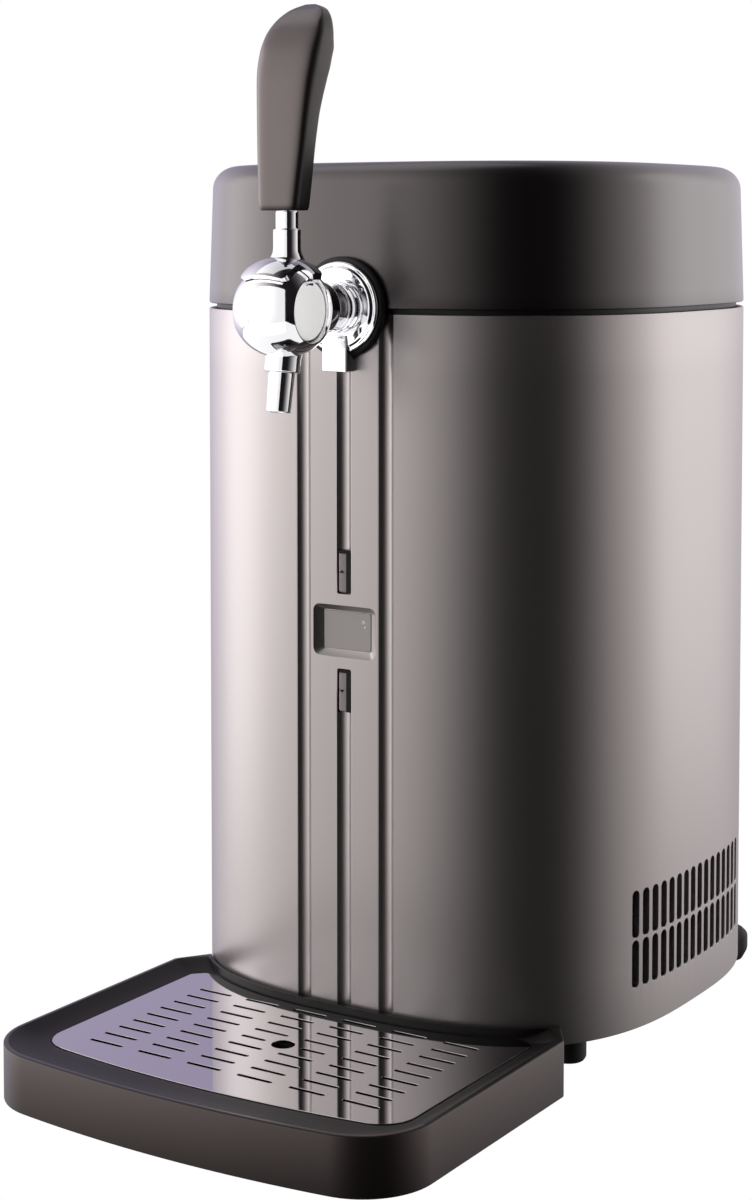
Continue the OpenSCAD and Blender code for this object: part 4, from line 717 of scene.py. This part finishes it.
def punched_sheet():
    """Geometry Nodes: the outline less a hole outline on every point, filled and drawn to a thickness."""
    group, given, result = new_group("Punched sheet", "GeometryNodeTree", [
        ("Geometry", "NodeSocketGeometry"), ("Points", "NodeSocketObject"), ("Hole", "NodeSocketObject"),
        ("Thickness", "NodeSocketFloat", 0.0012), ("Material", "NodeSocketMaterial")])
    value = given.outputs
    points = add(group, "GeometryNodeObjectInfo", {"Object": value["Points"]})
    hole = add(group, "GeometryNodeObjectInfo", {"Object": value["Hole"]})
    length = add(group, "GeometryNodeInputNamedAttribute", {"Name": "stretch"}, data_type="FLOAT")
    scale = add(group, "ShaderNodeCombineXYZ", {0: length.outputs[0], 1: 1.0, 2: 1.0})
    placed = add(group, "GeometryNodeInstanceOnPoints", {
        "Points": points.outputs["Geometry"], "Instance": hole.outputs["Geometry"],
        "Scale": scale.outputs[0]})
    real = add(group, "GeometryNodeRealizeInstances", {0: placed.outputs[0]})
    both = add(group, "GeometryNodeJoinGeometry")
    group.links.new(value["Geometry"], both.inputs[0])
    group.links.new(real.outputs[0], both.inputs[0])
    curves = add(group, "GeometryNodeMeshToCurve", {0: both.outputs[0]})
    under = add(group, "GeometryNodeFillCurve", {0: curves.outputs[0]}, mode="TRIANGLES")
    rise = add(group, "ShaderNodeCombineXYZ", {2: value["Thickness"]})
    thick = add(group, "GeometryNodeExtrudeMesh", {"Mesh": under.outputs[0], "Offset": rise.outputs[0],
                                                   "Offset Scale": 1.0, "Individual": False}, mode="FACES")
    flipped = add(group, "GeometryNodeFlipFaces", {0: under.outputs[0]})
    closed = add(group, "GeometryNodeJoinGeometry")
    group.links.new(thick.outputs[0], closed.inputs[0])
    group.links.new(flipped.outputs[0], closed.inputs[0])
    whole = add(group, "GeometryNodeMergeByDistance", {0: closed.outputs[0], "Distance": 0.00001})
    return end_group(group, whole.outputs[0], value["Material"], result)


slots = []
for row in range(-4, 5):
    for col in range(3):
        near = SLOT_COL * (col + 0.5) - SLOT_LEN / 2
        far = near + SLOT_LEN
        if row == 0:
            near = max(near, FINGER + 0.005)
        y, stretch = AXIS_Y + SLOT_MID + row * SLOT_ROW, (far - near) / SLOT_LEN
        slots += [(side * (near + far) / 2, y, 0.0, 0.0, stretch) for side in (-1, 1)]
hole = [(FINGER * math.cos(a), AXIS_Y + SLOT_MID + FINGER * math.sin(a), 0.0) for a in around(48)]
plate = outline_object("plate", plate_ring(0.0, 0.0), hole)
points, slot_edge = cutting_points("plate_points", slots), outline_object("plate_slot", slot_outline())
apply_group(plate, punched_sheet(), {"Points": points, "Hole": slot_edge, "Thickness": PLATE_TOP - PLATE_Z,
                                     "Material": plate_steel})
for spent in (points, slot_edge):
    bpy.data.objects.remove(spent)
plate.data.transform(Matrix.Translation((0, 0, PLATE_Z)))
finish_piece(bevelled(plate, 0.0005, 2, 50), plate_steel, "plate", 20.0, ["drip_plate"])


# ---- Tap -------------------------------------------------------------------------------------------
# Chrome-plated brass: a barrel lying crosswise, a neck with two rings back to the domed flange, a collar
# leaning forwards with the spout in it, and a lug under the flange. A rubber ring seats it on the lid.
TAP_REACH, STEM_BACK, BALL_R, BALL_RUN = 0.0547, 0.004, 0.0238, 0.0256
BARREL = Vector((0, FRONT_Y - TAP_REACH, TAP_Z))      # middle of the barrel, on the lever's axis
STEM = BARREL + Vector((0, STEM_BACK, 0))             # the stem and the spout stand a little behind it
chrome = surface("tap_chrome", (0.86, 0.86, 0.88), 0.01, 0.06, 0.015, grain=700.0, cloud=30.0,
                 Metallic=1.0)
rubber = surface("rubber", (0.016, 0.016, 0.017), 0.2, 0.62, 0.06, grain=2400.0, bump=0.00003)


def fillet(points, radius, steps=5):
    """An open profile of (radius, height) points whose inner corners are rounded."""
    out = [points[0]]
    for a, b, c in zip(points, points[1:], points[2:]):
        a, b, c = map(np.array, (a, b, c))
        u, v = a - b, c - b
        reach = min(radius, 0.45 * np.linalg.norm(u), 0.45 * np.linalg.norm(v))
        p, q = b + u / np.linalg.norm(u) * reach, b + v / np.linalg.norm(v) * reach
        out += [tuple((1 - t) ** 2 * p + 2 * t * (1 - t) * b + t * t * q) for t in np.linspace(0, 1, steps)]
    return out + [points[-1]]


def mm(*rows):
    """Pairs of millimetres as metres."""
    return [(a / 1000, b / 1000) for a, b in rows]


SPOUT_TILT = math.radians(171)


def ball(start, end, grow, steps):
    """The barrel's round form, as (radius, place along it), grown all round."""
    return [((BALL_R + grow) * math.sqrt(1 - (x / (BALL_RUN + grow)) ** 2), x)
            for x in np.linspace(start, end, steps)]


def flipped(profile):
    """A (radius, height) profile pointing the other way."""
    return [(r, -h) for r, h in profile[::-1]]


BARREL_END = mm((16.0, 18.05), (15.7, 17.6), (15.2, 13.7), (14.8, 13.45), (0.5, 13.45))
barrel = [*flipped(BARREL_END), *ball(-0.0182, 0.0182, 0, 60), *BARREL_END]
neck = mm((9.0, 8.0)) + fillet(mm(
    (12.8, 12), (12.8, 22.3), (14.4, 22.3), (14.4, 30.3), (12.8, 30.3), (12.8, 39.5), (13.7, 39.5),
    (13.7, 42.5), (12.8, 42.5), (12.8, 46.0), (9.6, 46.0)), 0.0006)
collar = mm((9.8, 12), (9.6, 21)) + fillet(mm((9.0, 24), (9.0, 31), (5.8, 31), (5.8, 22)), 0.0007)
piece("tap_body_shaped", *joined(lathe(barrel, 144, axis="x", at=BARREL),
                                 lathe(neck, 112, axis="y", at=BARREL),
                                 lathe(collar, 96, at=STEM, tilt=SPOUT_TILT)),
      chrome, "cabinet", 35.0, "tap_chrome", ["tap_body"])
spout = fillet(mm((5.5, 25.4), (5.5, 31.0), (6.6, 31.05), (6.6, 33), (6.1, 50.8), (3.8, 50.8), (3.8, 21.4)),
               0.0007)
piece("spout_tube", *lathe(spout + mm((5.5, 21.4)), 96, True, at=STEM, tilt=SPOUT_TILT), chrome, "cabinet",
      35.0, "tap_chrome", ["spout"])
TAP_SEAT = (0, FRONT_Y, TAP_Z)
dome = fillet(mm((9.8, 3.4), (23.5, 3.4), (23.5, 5.0), (22.6, 5.8), (21.5, 6.0), (20.3, 7.4), (17.0, 8.2),
                 (14.8, 8.4), (9.8, 8.4)), 0.0006)
tap_flange = piece("flange", *lathe(flipped(dome), 144, True, axis="y", at=TAP_SEAT), None, smooth=None)
LUG = mm((-9.3, -32.7), (0, -32.7), (0, -26.4), (-3.4, -26.4), (-3.4, -14), (-9.3, -14))
LUG_HALF = 0.0074
lug = piece("lug", *loft([[(x, FRONT_Y + y, TAP_Z + z) for y, z in LUG] for x in (-LUG_HALF, LUG_HALF)]),
            None, smooth=None)


def merged(obj, *others):
    """The meshes of others joined into obj's."""
    work = bmesh.new()
    for each in (obj, *others):
        work.from_mesh(each.data)
    work.to_mesh(obj.data)
    work.free()
    for each in others:
        bpy.data.objects.remove(each)


merged(tap_flange, bevelled(lug, 0.0008))
finish_piece(tap_flange, chrome, "cabinet", 35.0, ["tap_flange"])
gasket = fillet(mm((9.8, 0.4), (26, 0.4), (26, 2.6), (25, 3.4), (9.8, 3.4)), 0.0004)
piece("gasket", *lathe(flipped(gasket), 112, True, axis="y", at=TAP_SEAT), rubber, "cabinet", 35.0,
      "rubber", ["tap_ring"])


# ---- Lever -----------------------------------------------------------------------------------------
# The yoke is a chrome casting: a saddle over the barrel, an ear down each end to a flat disc on the
# pivot pin, and a stepped stem on top. The handle is a tall paddle of matt charcoal plastic.
handle_plastic = surface("handle_plastic", (0.150, 0.132, 0.130), 0.08, 0.24, 0.04, grain=2100.0,
                         bump=0.00003, Metallic=0.85)


def turned_section(section, start, end, steps):
    """A closed section of (distance from the barrel's axis, place along it) turned from front to rear."""
    area = sum(a[0] * b[1] - b[0] * a[1] for a, b in zip(section, section[1:] + section[:1]))
    section = section if area > 0 else section[::-1]
    return loft([[(x, BARREL.y + r * math.sin(a), BARREL.z + r * math.cos(a)) for r, x in section]
                 for a in np.radians(np.linspace(start, end, steps))])


def rounded_section(points, radius, steps=4):
    """A closed polygon with all its corners rounded."""
    out = fillet([points[-1], *points, points[0]], radius, steps)
    return out[1:-1]


SADDLE_FRONT, SADDLE_REAR, SADDLE_HALF, SADDLE_R = -50, 46, 0.0135, 0.0255
SADDLE_CORNER, SADDLE_NARROW, SADDLE_EDGE, SADDLE_BEVEL = 0.004, 0.0036, 0.0008, 0.0007
SADDLE_UNDER, SADDLE_OVER, EAR_HALF_TURN = 0.00035, 0.00285, 13


def saddle_rings():
    """Sections of the saddle from its front end to its rear, narrowing at both round-cornered ends."""
    rings = []
    for a in np.linspace(SADDLE_FRONT, SADDLE_REAR, 72):
        edge = min(a - SADDLE_FRONT, SADDLE_REAR - a) * math.radians(1) * SADDLE_R
        short = max(0.0, SADDLE_CORNER - edge) / SADDLE_CORNER
        half = SADDLE_HALF - SADDLE_NARROW * (1 - math.sqrt(max(0.0, 1 - short * short)))
        thin = SADDLE_BEVEL * (max(0.0, SADDLE_EDGE - edge) / SADDLE_EDGE) ** 2
        section = [*ball(-half, half, SADDLE_UNDER + thin, 22), *ball(half, -half, SADDLE_OVER - thin, 22)]
        back, up = math.sin(math.radians(a)), math.cos(math.radians(a))
        rings.append([(x, BARREL.y + r * back, BARREL.z + r * up) for r, x in section])
    return rings


EAR = [*ball(0.0123, 0.01825, 0.0004, 6),
       *mm((16.8, 18.6), (14.8, 18.6), (14.8, 14.0), (11.6, 14.0), (11.6, 15.6), (13.6, 16.6), (15.4, 20.6)),
       *ball(0.0206, 0.0123, 0.0028, 8)]
ears = [turned_section(rounded_section([(r, side * x) for r, x in EAR], 0.0004),
                       -EAR_HALF_TURN, EAR_HALF_TURN, 24) for side in (1, -1)]
stem = fillet(mm((10.6, 21.6), (8.6, 25.4), (7.2, 28.4), (6.9, 30.4), (6.9, 39.8), (5.65, 40.0),
                 (5.65, 49.0), (3.2, 49.0), (3.2, 74.0)), 0.0016)
piece("yoke", *joined(loft(saddle_rings()), *ears, lathe(stem, 80, at=STEM)), chrome, "lever", 35.0,
      "tap_chrome", ["lever_yoke"])

satin_nickel = surface("satin_nickel", (0.96, 0.95, 0.94), 0.01, 0.34, 0.02, grain=900.0, Metallic=0.15)
disc = fillet(mm((0.5, 13.8), (14.6, 13.8), (14.6, 15.6), (13.8, 16.0), (0.5, 16.3)), 0.0007)
discs = [lathe(profile, 96, axis="x", at=BARREL) for profile in (disc, flipped(disc))]
piece("yoke_discs", *joined(*discs), satin_nickel, "lever", 35.0, "tap_chrome", ["lever_yoke"])

for chromed in ("tap_body_shaped", "spout_tube", "flange", "yoke", "yoke_discs"):
    chrome_only.objects.link(bpy.data.objects[chromed])
disc_only.objects.link(bpy.data.objects["yoke_discs"])

HANDLE_W, HANDLE_T, HANDLE_H, HANDLE_Z, HANDLE_FRONT = 0.0354, 0.0192, 0.1025, 0.049, 0.010
# Rows up the handle: shares of its height, width and thickness, and how far back its front stands, in mm.
HANDLE_FORM = [(0, 0.62, 0.7, 0.8), (0.02, 0.66, 0.775, 0), (0.146, 0.725, 0.771, 0.9),
               (0.29, 0.794, 0.75, 2.1), (0.452, 0.865, 0.792, 3.4), (0.538, 0.91, 0.859, 4.2),
               (0.624, 0.959, 0.947, 5.2), (0.7, 0.995, 0.995, 6.9), (0.767, 1, 1, 9.1),
               (0.838, 0.967, 0.835, 12.9), (0.909, 0.829, 0.664, 18.2), (0.966, 0.584, 0.44, 24.6),
               (0.985, 0.41, 0.3, 27.6), (1, 0.16, 0.12, 30.2)]


def smooth_between(xs, ys, at):
    """A curve through the points that never overshoots them."""
    xs, ys = np.array(xs, float), np.array(ys, float)
    step, rise = np.diff(xs), np.diff(ys) / np.diff(xs)
    before, after = rise[:-1], rise[1:]
    both = np.where(after + before == 0, 1, after + before)
    inner = np.where(after * before > 0, 2 * after * before / both, 0)
    slope = np.concatenate([[rise[0]], inner, [rise[-1]]])
    k = np.clip(np.searchsorted(xs, at) - 1, 0, len(step) - 1)
    t = (at - xs[k]) / step[k]
    return ((1 + 2 * t) * (1 - t) ** 2 * ys[k] + t * (1 - t) ** 2 * step[k] * slope[k]
            + t * t * (3 - 2 * t) * ys[k + 1] + t * t * (t - 1) * step[k] * slope[k + 1])


SECTION_POWER = 0.36


def squared(value):
    """A cosine or sine, drawn out so that the circle it belongs to becomes a rounded square."""
    return math.copysign(abs(value) ** SECTION_POWER, value) if abs(value) > 1e-9 else 0.0


heights, *columns = zip(*HANDLE_FORM)
rings = []
for t in [0, 0.004, 0.012, *np.linspace(0.025, 0.93, 64), *np.linspace(0.94, 1, 14)]:
    wide, thick, back = (smooth_between(heights, column, t) for column in columns)
    w, d = wide * HANDLE_W / 2, thick * HANDLE_T / 2
    y, z = STEM.y - HANDLE_FRONT + back / 1000 + d, STEM.z + HANDLE_Z + HANDLE_H * t
    rings.append([(w * squared(math.cos(a)), y + d * squared(math.sin(a)), z) for a in around(72)])
handle = piece("handle", *loft(rings), handle_plastic, "lever", 40.0, "handle_plastic", ["lever_handle"])
# Painted shade: the paddle's narrow sides, where the normal points sideways, are painted darker and made
# duller and less metallic. The lid's gloss doesn't mirror it.
SIDE_FROM, SIDE_FADE = 0.55, 0.3
painted_side_shade = [min(1.0, max(0.0, (abs(point.normal.x) - SIDE_FROM) / SIDE_FADE))
            for point in handle.data.vertices]
marked(handle, "side", "POINT", painted_side_shade, 0.72, 0.12, 0.2)
handle.visible_glossy = False


# ---- Buttons and display ---------------------------------------------------------------------------
# Two upright keys sit in the middle channel above and below the display, each with a flange behind the
# wall and a stem to its switch. The display is a plain sheet of tinted clear plastic in a bevelled recess.
button_plastic = surface("button_plastic", (0.34, 0.30, 0.295), 0.05, 0.40, 0.04, grain=2200.0, bump=0.00001)
glass_tint = surface("display_glass", (0.40, 0.38, 0.37), 0.02, 0.16, 0.02, grain=400.0, Metallic=0.25)
# Near-black for the painted shadow strip beside each key and for the printed arrows.
seal_black = surface("seal_black", (0.004, 0.004, 0.004), 0.1, 0.8, 0.05)


def raised(part, height):
    """A part moved up."""
    points, faces = part
    return [(x, y, z + height) for x, y, z in points], faces


key = loft([rounded_ring(w, h, r, FRONT_Y + y) for y, w, h, r in (
    (0.0050, 0.0094, 0.0240, 0.0010), (0.0038, 0.0094, 0.0240, 0.0010), (0.0038, 0.0070, 0.0216, 0.0011),
    (0.0009, 0.0070, 0.0216, 0.0011), (0.0005, 0.0068, 0.0214, 0.0011), (0.0003, 0.0064, 0.0210, 0.0010),
    (0.0002, 0.0058, 0.0204, 0.0008))])
stem_end = max(corner.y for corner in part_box("button_up"))
key_stem = lathe([(0.0015, FRONT_Y + 0.0045), (0.0015, stem_end - 0.0002), (0.0012, stem_end)], 32, axis="y")
# A black strip along the key's top and right is painted shadow, standing for the shaded gap round the key,
# and its face has a plain arrow on it.
SHADOW_GAP_STRIP = mm((-3.6, 11.1), (3.7, 11.1), (3.7, -10.9), (1.2, -10.9), (1.2, 9.4), (-3.6, 9.4))
for name, side, body, node in (("key_up", 1, "upper_button", "button_up"),
                               ("key_down", -1, "lower_button", "button_down")):
    height = DISPLAY_Z + side * BUTTON_OFF
    piece(name, *raised(joined(key, key_stem), height), button_plastic, body, 30.0, "button_plastic", [node])
    arrow = mm((-1.4, 1.0 * side), (0.2, -0.6 * side), (-3.0, -0.6 * side))[::-side]
    for label, shape, depth in (("seal", SHADOW_GAP_STRIP[::-1], 0.0001), ("arrow", arrow, 0.00012)):
        mark = loft([[(x, FRONT_Y + y, z) for x, z in shape] for y in (0.0006, depth)])
        piece(name + "_" + label, *raised(mark, height), seal_black, body, 60.0, "rubber", [node])

glass_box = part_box("display_glass")
low, high = (Vector([pick(corner[k] for corner in glass_box) for k in range(3)]) for pick in (min, max))
pane = loft([rounded_ring(high.x - low.x - g, high.z - low.z - g, 0.0012, y) for y, g in (
    (high.y, 0.0), (low.y + 0.0003, 0.0), (low.y, 0.0005))])
piece("pane", *raised(pane, DISPLAY_Z), glass_tint, "cabinet", 30.0, "display_glass", ["display_glass"])
white_ink = surface("white_ink", (0.9, 0.9, 0.88), 0.02, 0.4, 0.03)
INK = 0.00005
dots = [lathe([(0.0001, low.y - INK), (r, low.y - INK), (r, low.y + 0.0002)], 20, axis="y",
              at=(x, 0, DISPLAY_Z + z)) for x, z, r in ((0.0098, 0.0052, 0.0010), (0.0108, 0.0026, 0.0007))]
piece("pane_dots", *joined(*dots), white_ink, "cabinet", 60.0, "display_glass", ["display_glass"])


# ---- Feet ------------------------------------------------------------------------------------------
# Two round feet in front and two long heels at the rear corners, moulded black rubber, each screwed up
# into the base pan through a counterbore.
FOOT_X, FOOT_Y = 0.098, -0.075
foot = fillet(mm((1.8, 0.0), (8.4, 0.0), (9.8, 2.0), (9.8, 18.0), (1.8, 18.0)), 0.0008)
front_feet = [lathe(foot, 72, True, at=(side * FOOT_X, AXIS_Y + FOOT_Y, 0)) for side in (-1, 1)]
piece("feet_front", *joined(*front_feet), rubber, "cabinet", 35.0, "rubber", ["front_feet"])


HEEL_CIRCLES = ((np.array([0.084, 0.092]), 0.011), (np.array([0.0975, 0.1274]), 0.012))


def heel_ring(side, shrink, z):
    """Outline round the heel's two circles, each point on the circle that reaches furthest its way."""
    ring = []
    for a in around(96):
        way = np.array([math.cos(a), math.sin(a)])
        centre, r = max(HEEL_CIRCLES, key=lambda circle: circle[0] @ way + circle[1])
        x, y = centre + (r - shrink) * way
        ring.append((side * x, AXIS_Y + y, z))
    return ring if side > 0 else ring[::-1]


HEEL = fillet(mm((0.0, 3.4), (0.4, 3.0), (6.0, 0.0), (15.0, 0.0), (17.8, 3.0), (18.0, 3.4)), 0.002)
heels = [loft([heel_ring(side, shrink, z) for z, shrink in HEEL]) for side in (-1, 1)]
piece("feet_rear", *joined(*heels), rubber, "cabinet", 35.0, "rubber", ["rear_feet"])


# ---- Pieces shown as the CAD part has them ---------------------------------------------------------
# Inside are an aluminium well in foam, a cooling stack with a fan, two circuit boards, a mains inlet,
# and in the corners under the lid a gas cartridge with its regulator and a keg coupler with its hoses.
def soft_shading():
    """Geometry Nodes: joined corners and smooth shading, with edges over the angle kept sharp."""
    group, given, result = new_group("Soft shading", "GeometryNodeTree", [
        ("Geometry", "NodeSocketGeometry"), ("Join distance", "NodeSocketFloat", 0.000002),
        ("Sharp angle", "NodeSocketFloat", 0.6)])
    value = given.outputs
    whole = add(group, "GeometryNodeMergeByDistance", {"Geometry": value["Geometry"],
                                                       "Distance": value["Join distance"]})
    smooth = add(group, "GeometryNodeSetShadeSmooth", {"Geometry": whole.outputs[0], "Shade Smooth": True},
                 domain="FACE")
    angle = add(group, "GeometryNodeInputMeshEdgeAngle")
    sharp = math_node(group, "GREATER_THAN", angle.outputs["Unsigned Angle"], value["Sharp angle"])
    edges = add(group, "GeometryNodeSetShadeSmooth", {"Geometry": smooth.outputs[0], "Selection": sharp,
                                                      "Shade Smooth": False}, domain="EDGE")
    group.links.new(edges.outputs[0], result.inputs[0])
    return group


SOFT = soft_shading()
aluminium = surface("well_aluminium", (0.72, 0.72, 0.73), 0.06, 0.34, 0.08, grain=500.0,
                    stretch=(1, 1, 30), Metallic=1.0)
machined = surface("machined_aluminium", (0.66, 0.67, 0.68), 0.06, 0.38, 0.08, grain=900.0,
                   stretch=(12, 1, 1), Metallic=1.0)
steel = surface("screw_steel", (0.55, 0.55, 0.56), 0.08, 0.28, 0.06, grain=1200.0, Metallic=1.0)
foam = surface("foam", (0.050, 0.048, 0.047), 0.20, 0.85, 0.08, grain=420.0, bump=0.0002)
ceramic = surface("ceramic", (0.86, 0.86, 0.83), 0.04, 0.45, 0.05, bump=0.00002)
brass = surface("regulator_brass", (0.62, 0.56, 0.46), 0.06, 0.30, 0.06, Metallic=1.0)
zinc = surface("cartridge_steel", (0.50, 0.51, 0.53), 0.08, 0.30, 0.06, grain=600.0, stretch=(1, 1, 8),
               Metallic=1.0)
black_hose = surface("gas_hose", (0.020, 0.020, 0.022), 0.15, 0.40, 0.06, bump=0.00003)
clear_hose = surface("beer_hose", (0.62, 0.66, 0.68), 0.05, 0.22, 0.04, Transmission_Weight=0.35,
                     IOR=1.45)
tape = surface("transformer_tape", (0.72, 0.55, 0.10), 0.10, 0.42, 0.06, stretch=(1, 1, 40))
sleeve = surface("capacitor_sleeve", (0.03, 0.04, 0.12), 0.08, 0.25, 0.05)
screen = surface("display_module", (0.28, 0.32, 0.29), 0.04, 0.35, 0.04)
braid = surface("loom_sleeve", (0.030, 0.030, 0.033), 0.35, 0.60, 0.08, grain=1400.0,
                stretch=(1, 1, 0.3), bump=0.0002)
nickel = surface("inlet_pins", (0.74, 0.73, 0.71), 0.04, 0.22, 0.05, Metallic=1.0)


def circuit_board():
    """Green board: tracks and pads from two cell patterns, with a satin lacquer over them."""
    material = surface("circuit_board", (0.02, 0.12, 0.05), 0.08, 0.35, 0.05)
    tree = material.node_tree
    inputs = shader_of(material).inputs
    where = add(tree, "ShaderNodeTexCoord").outputs["Object"]
    tracks = add(tree, "ShaderNodeTexVoronoi", {"Vector": where, "Scale": 210.0, "Randomness": 0.35},
                 distance="MANHATTAN", feature="DISTANCE_TO_EDGE")
    line = math_node(tree, "LESS_THAN", tracks.outputs["Distance"], 0.06)
    pads = add(tree, "ShaderNodeTexVoronoi", {"Vector": where, "Scale": 260.0, "Randomness": 0.2})
    pad = math_node(tree, "LESS_THAN", pads.outputs["Distance"], 0.16)
    ground = add(tree, "ShaderNodeMix", {0: line, 6: (0.02, 0.12, 0.05, 1), 7: (0.05, 0.24, 0.10, 1)},
                 data_type="RGBA")
    copper = add(tree, "ShaderNodeMix", {0: pad, 6: ground.outputs[2], 7: (0.70, 0.68, 0.62, 1)},
                 data_type="RGBA")
    tree.links.new(copper.outputs[2], inputs["Base Color"])
    tree.links.new(pad, inputs["Metallic"])
    return material


board = circuit_board()
FINISHES = {
    "top_ring": black_inside, "keg_well": aluminium, "foam_jacket": foam, "base_pan": black_inside,
    "foot_screws": steel, "pan_screws": steel, "cold_block": machined, "cooling_module": ceramic,
    "heatsink": machined, "heatsink_screws": steel, "fan_frame": black_inside, "fan_rotor": black_inside,
    "fan_screws": steel, "power_board": board, "transformer": tape, "capacitors": sleeve,
    "power_inlet": black_inside, "inlet_pins": nickel, "inlet_screws": steel, "control_board": board,
    "display_module": screen, "switches": black_inside, "control_screws": steel, "wiring_loom": braid,
    "lid_foam": foam, "lid_liner": black_inside, "lid_seal": rubber, "lid_screws": steel, "tap_shank": chrome,
    "shank_nut": chrome, "spout_seal": rubber, "pivot_pin": steel, "valve_rod": steel, "valve_seal": rubber,
    "gas_regulator": brass, "regulator_knob": black_inside, "cartridge_sleeve": aluminium,
    "gas_cartridge": zinc, "gas_line": black_hose, "keg_coupler": black_inside, "coupler_tube": aluminium,
    "coupler_seal": rubber, "beer_line": clear_hose}
for name, material in FINISHES.items():
    obj = nodes[name]
    obj.data.materials.clear()
    obj.data.materials.append(material)
    modifier = obj.modifiers.new("Soft shading", "NODES")
    modifier.node_group = SOFT

bpy.context.view_layer.update()
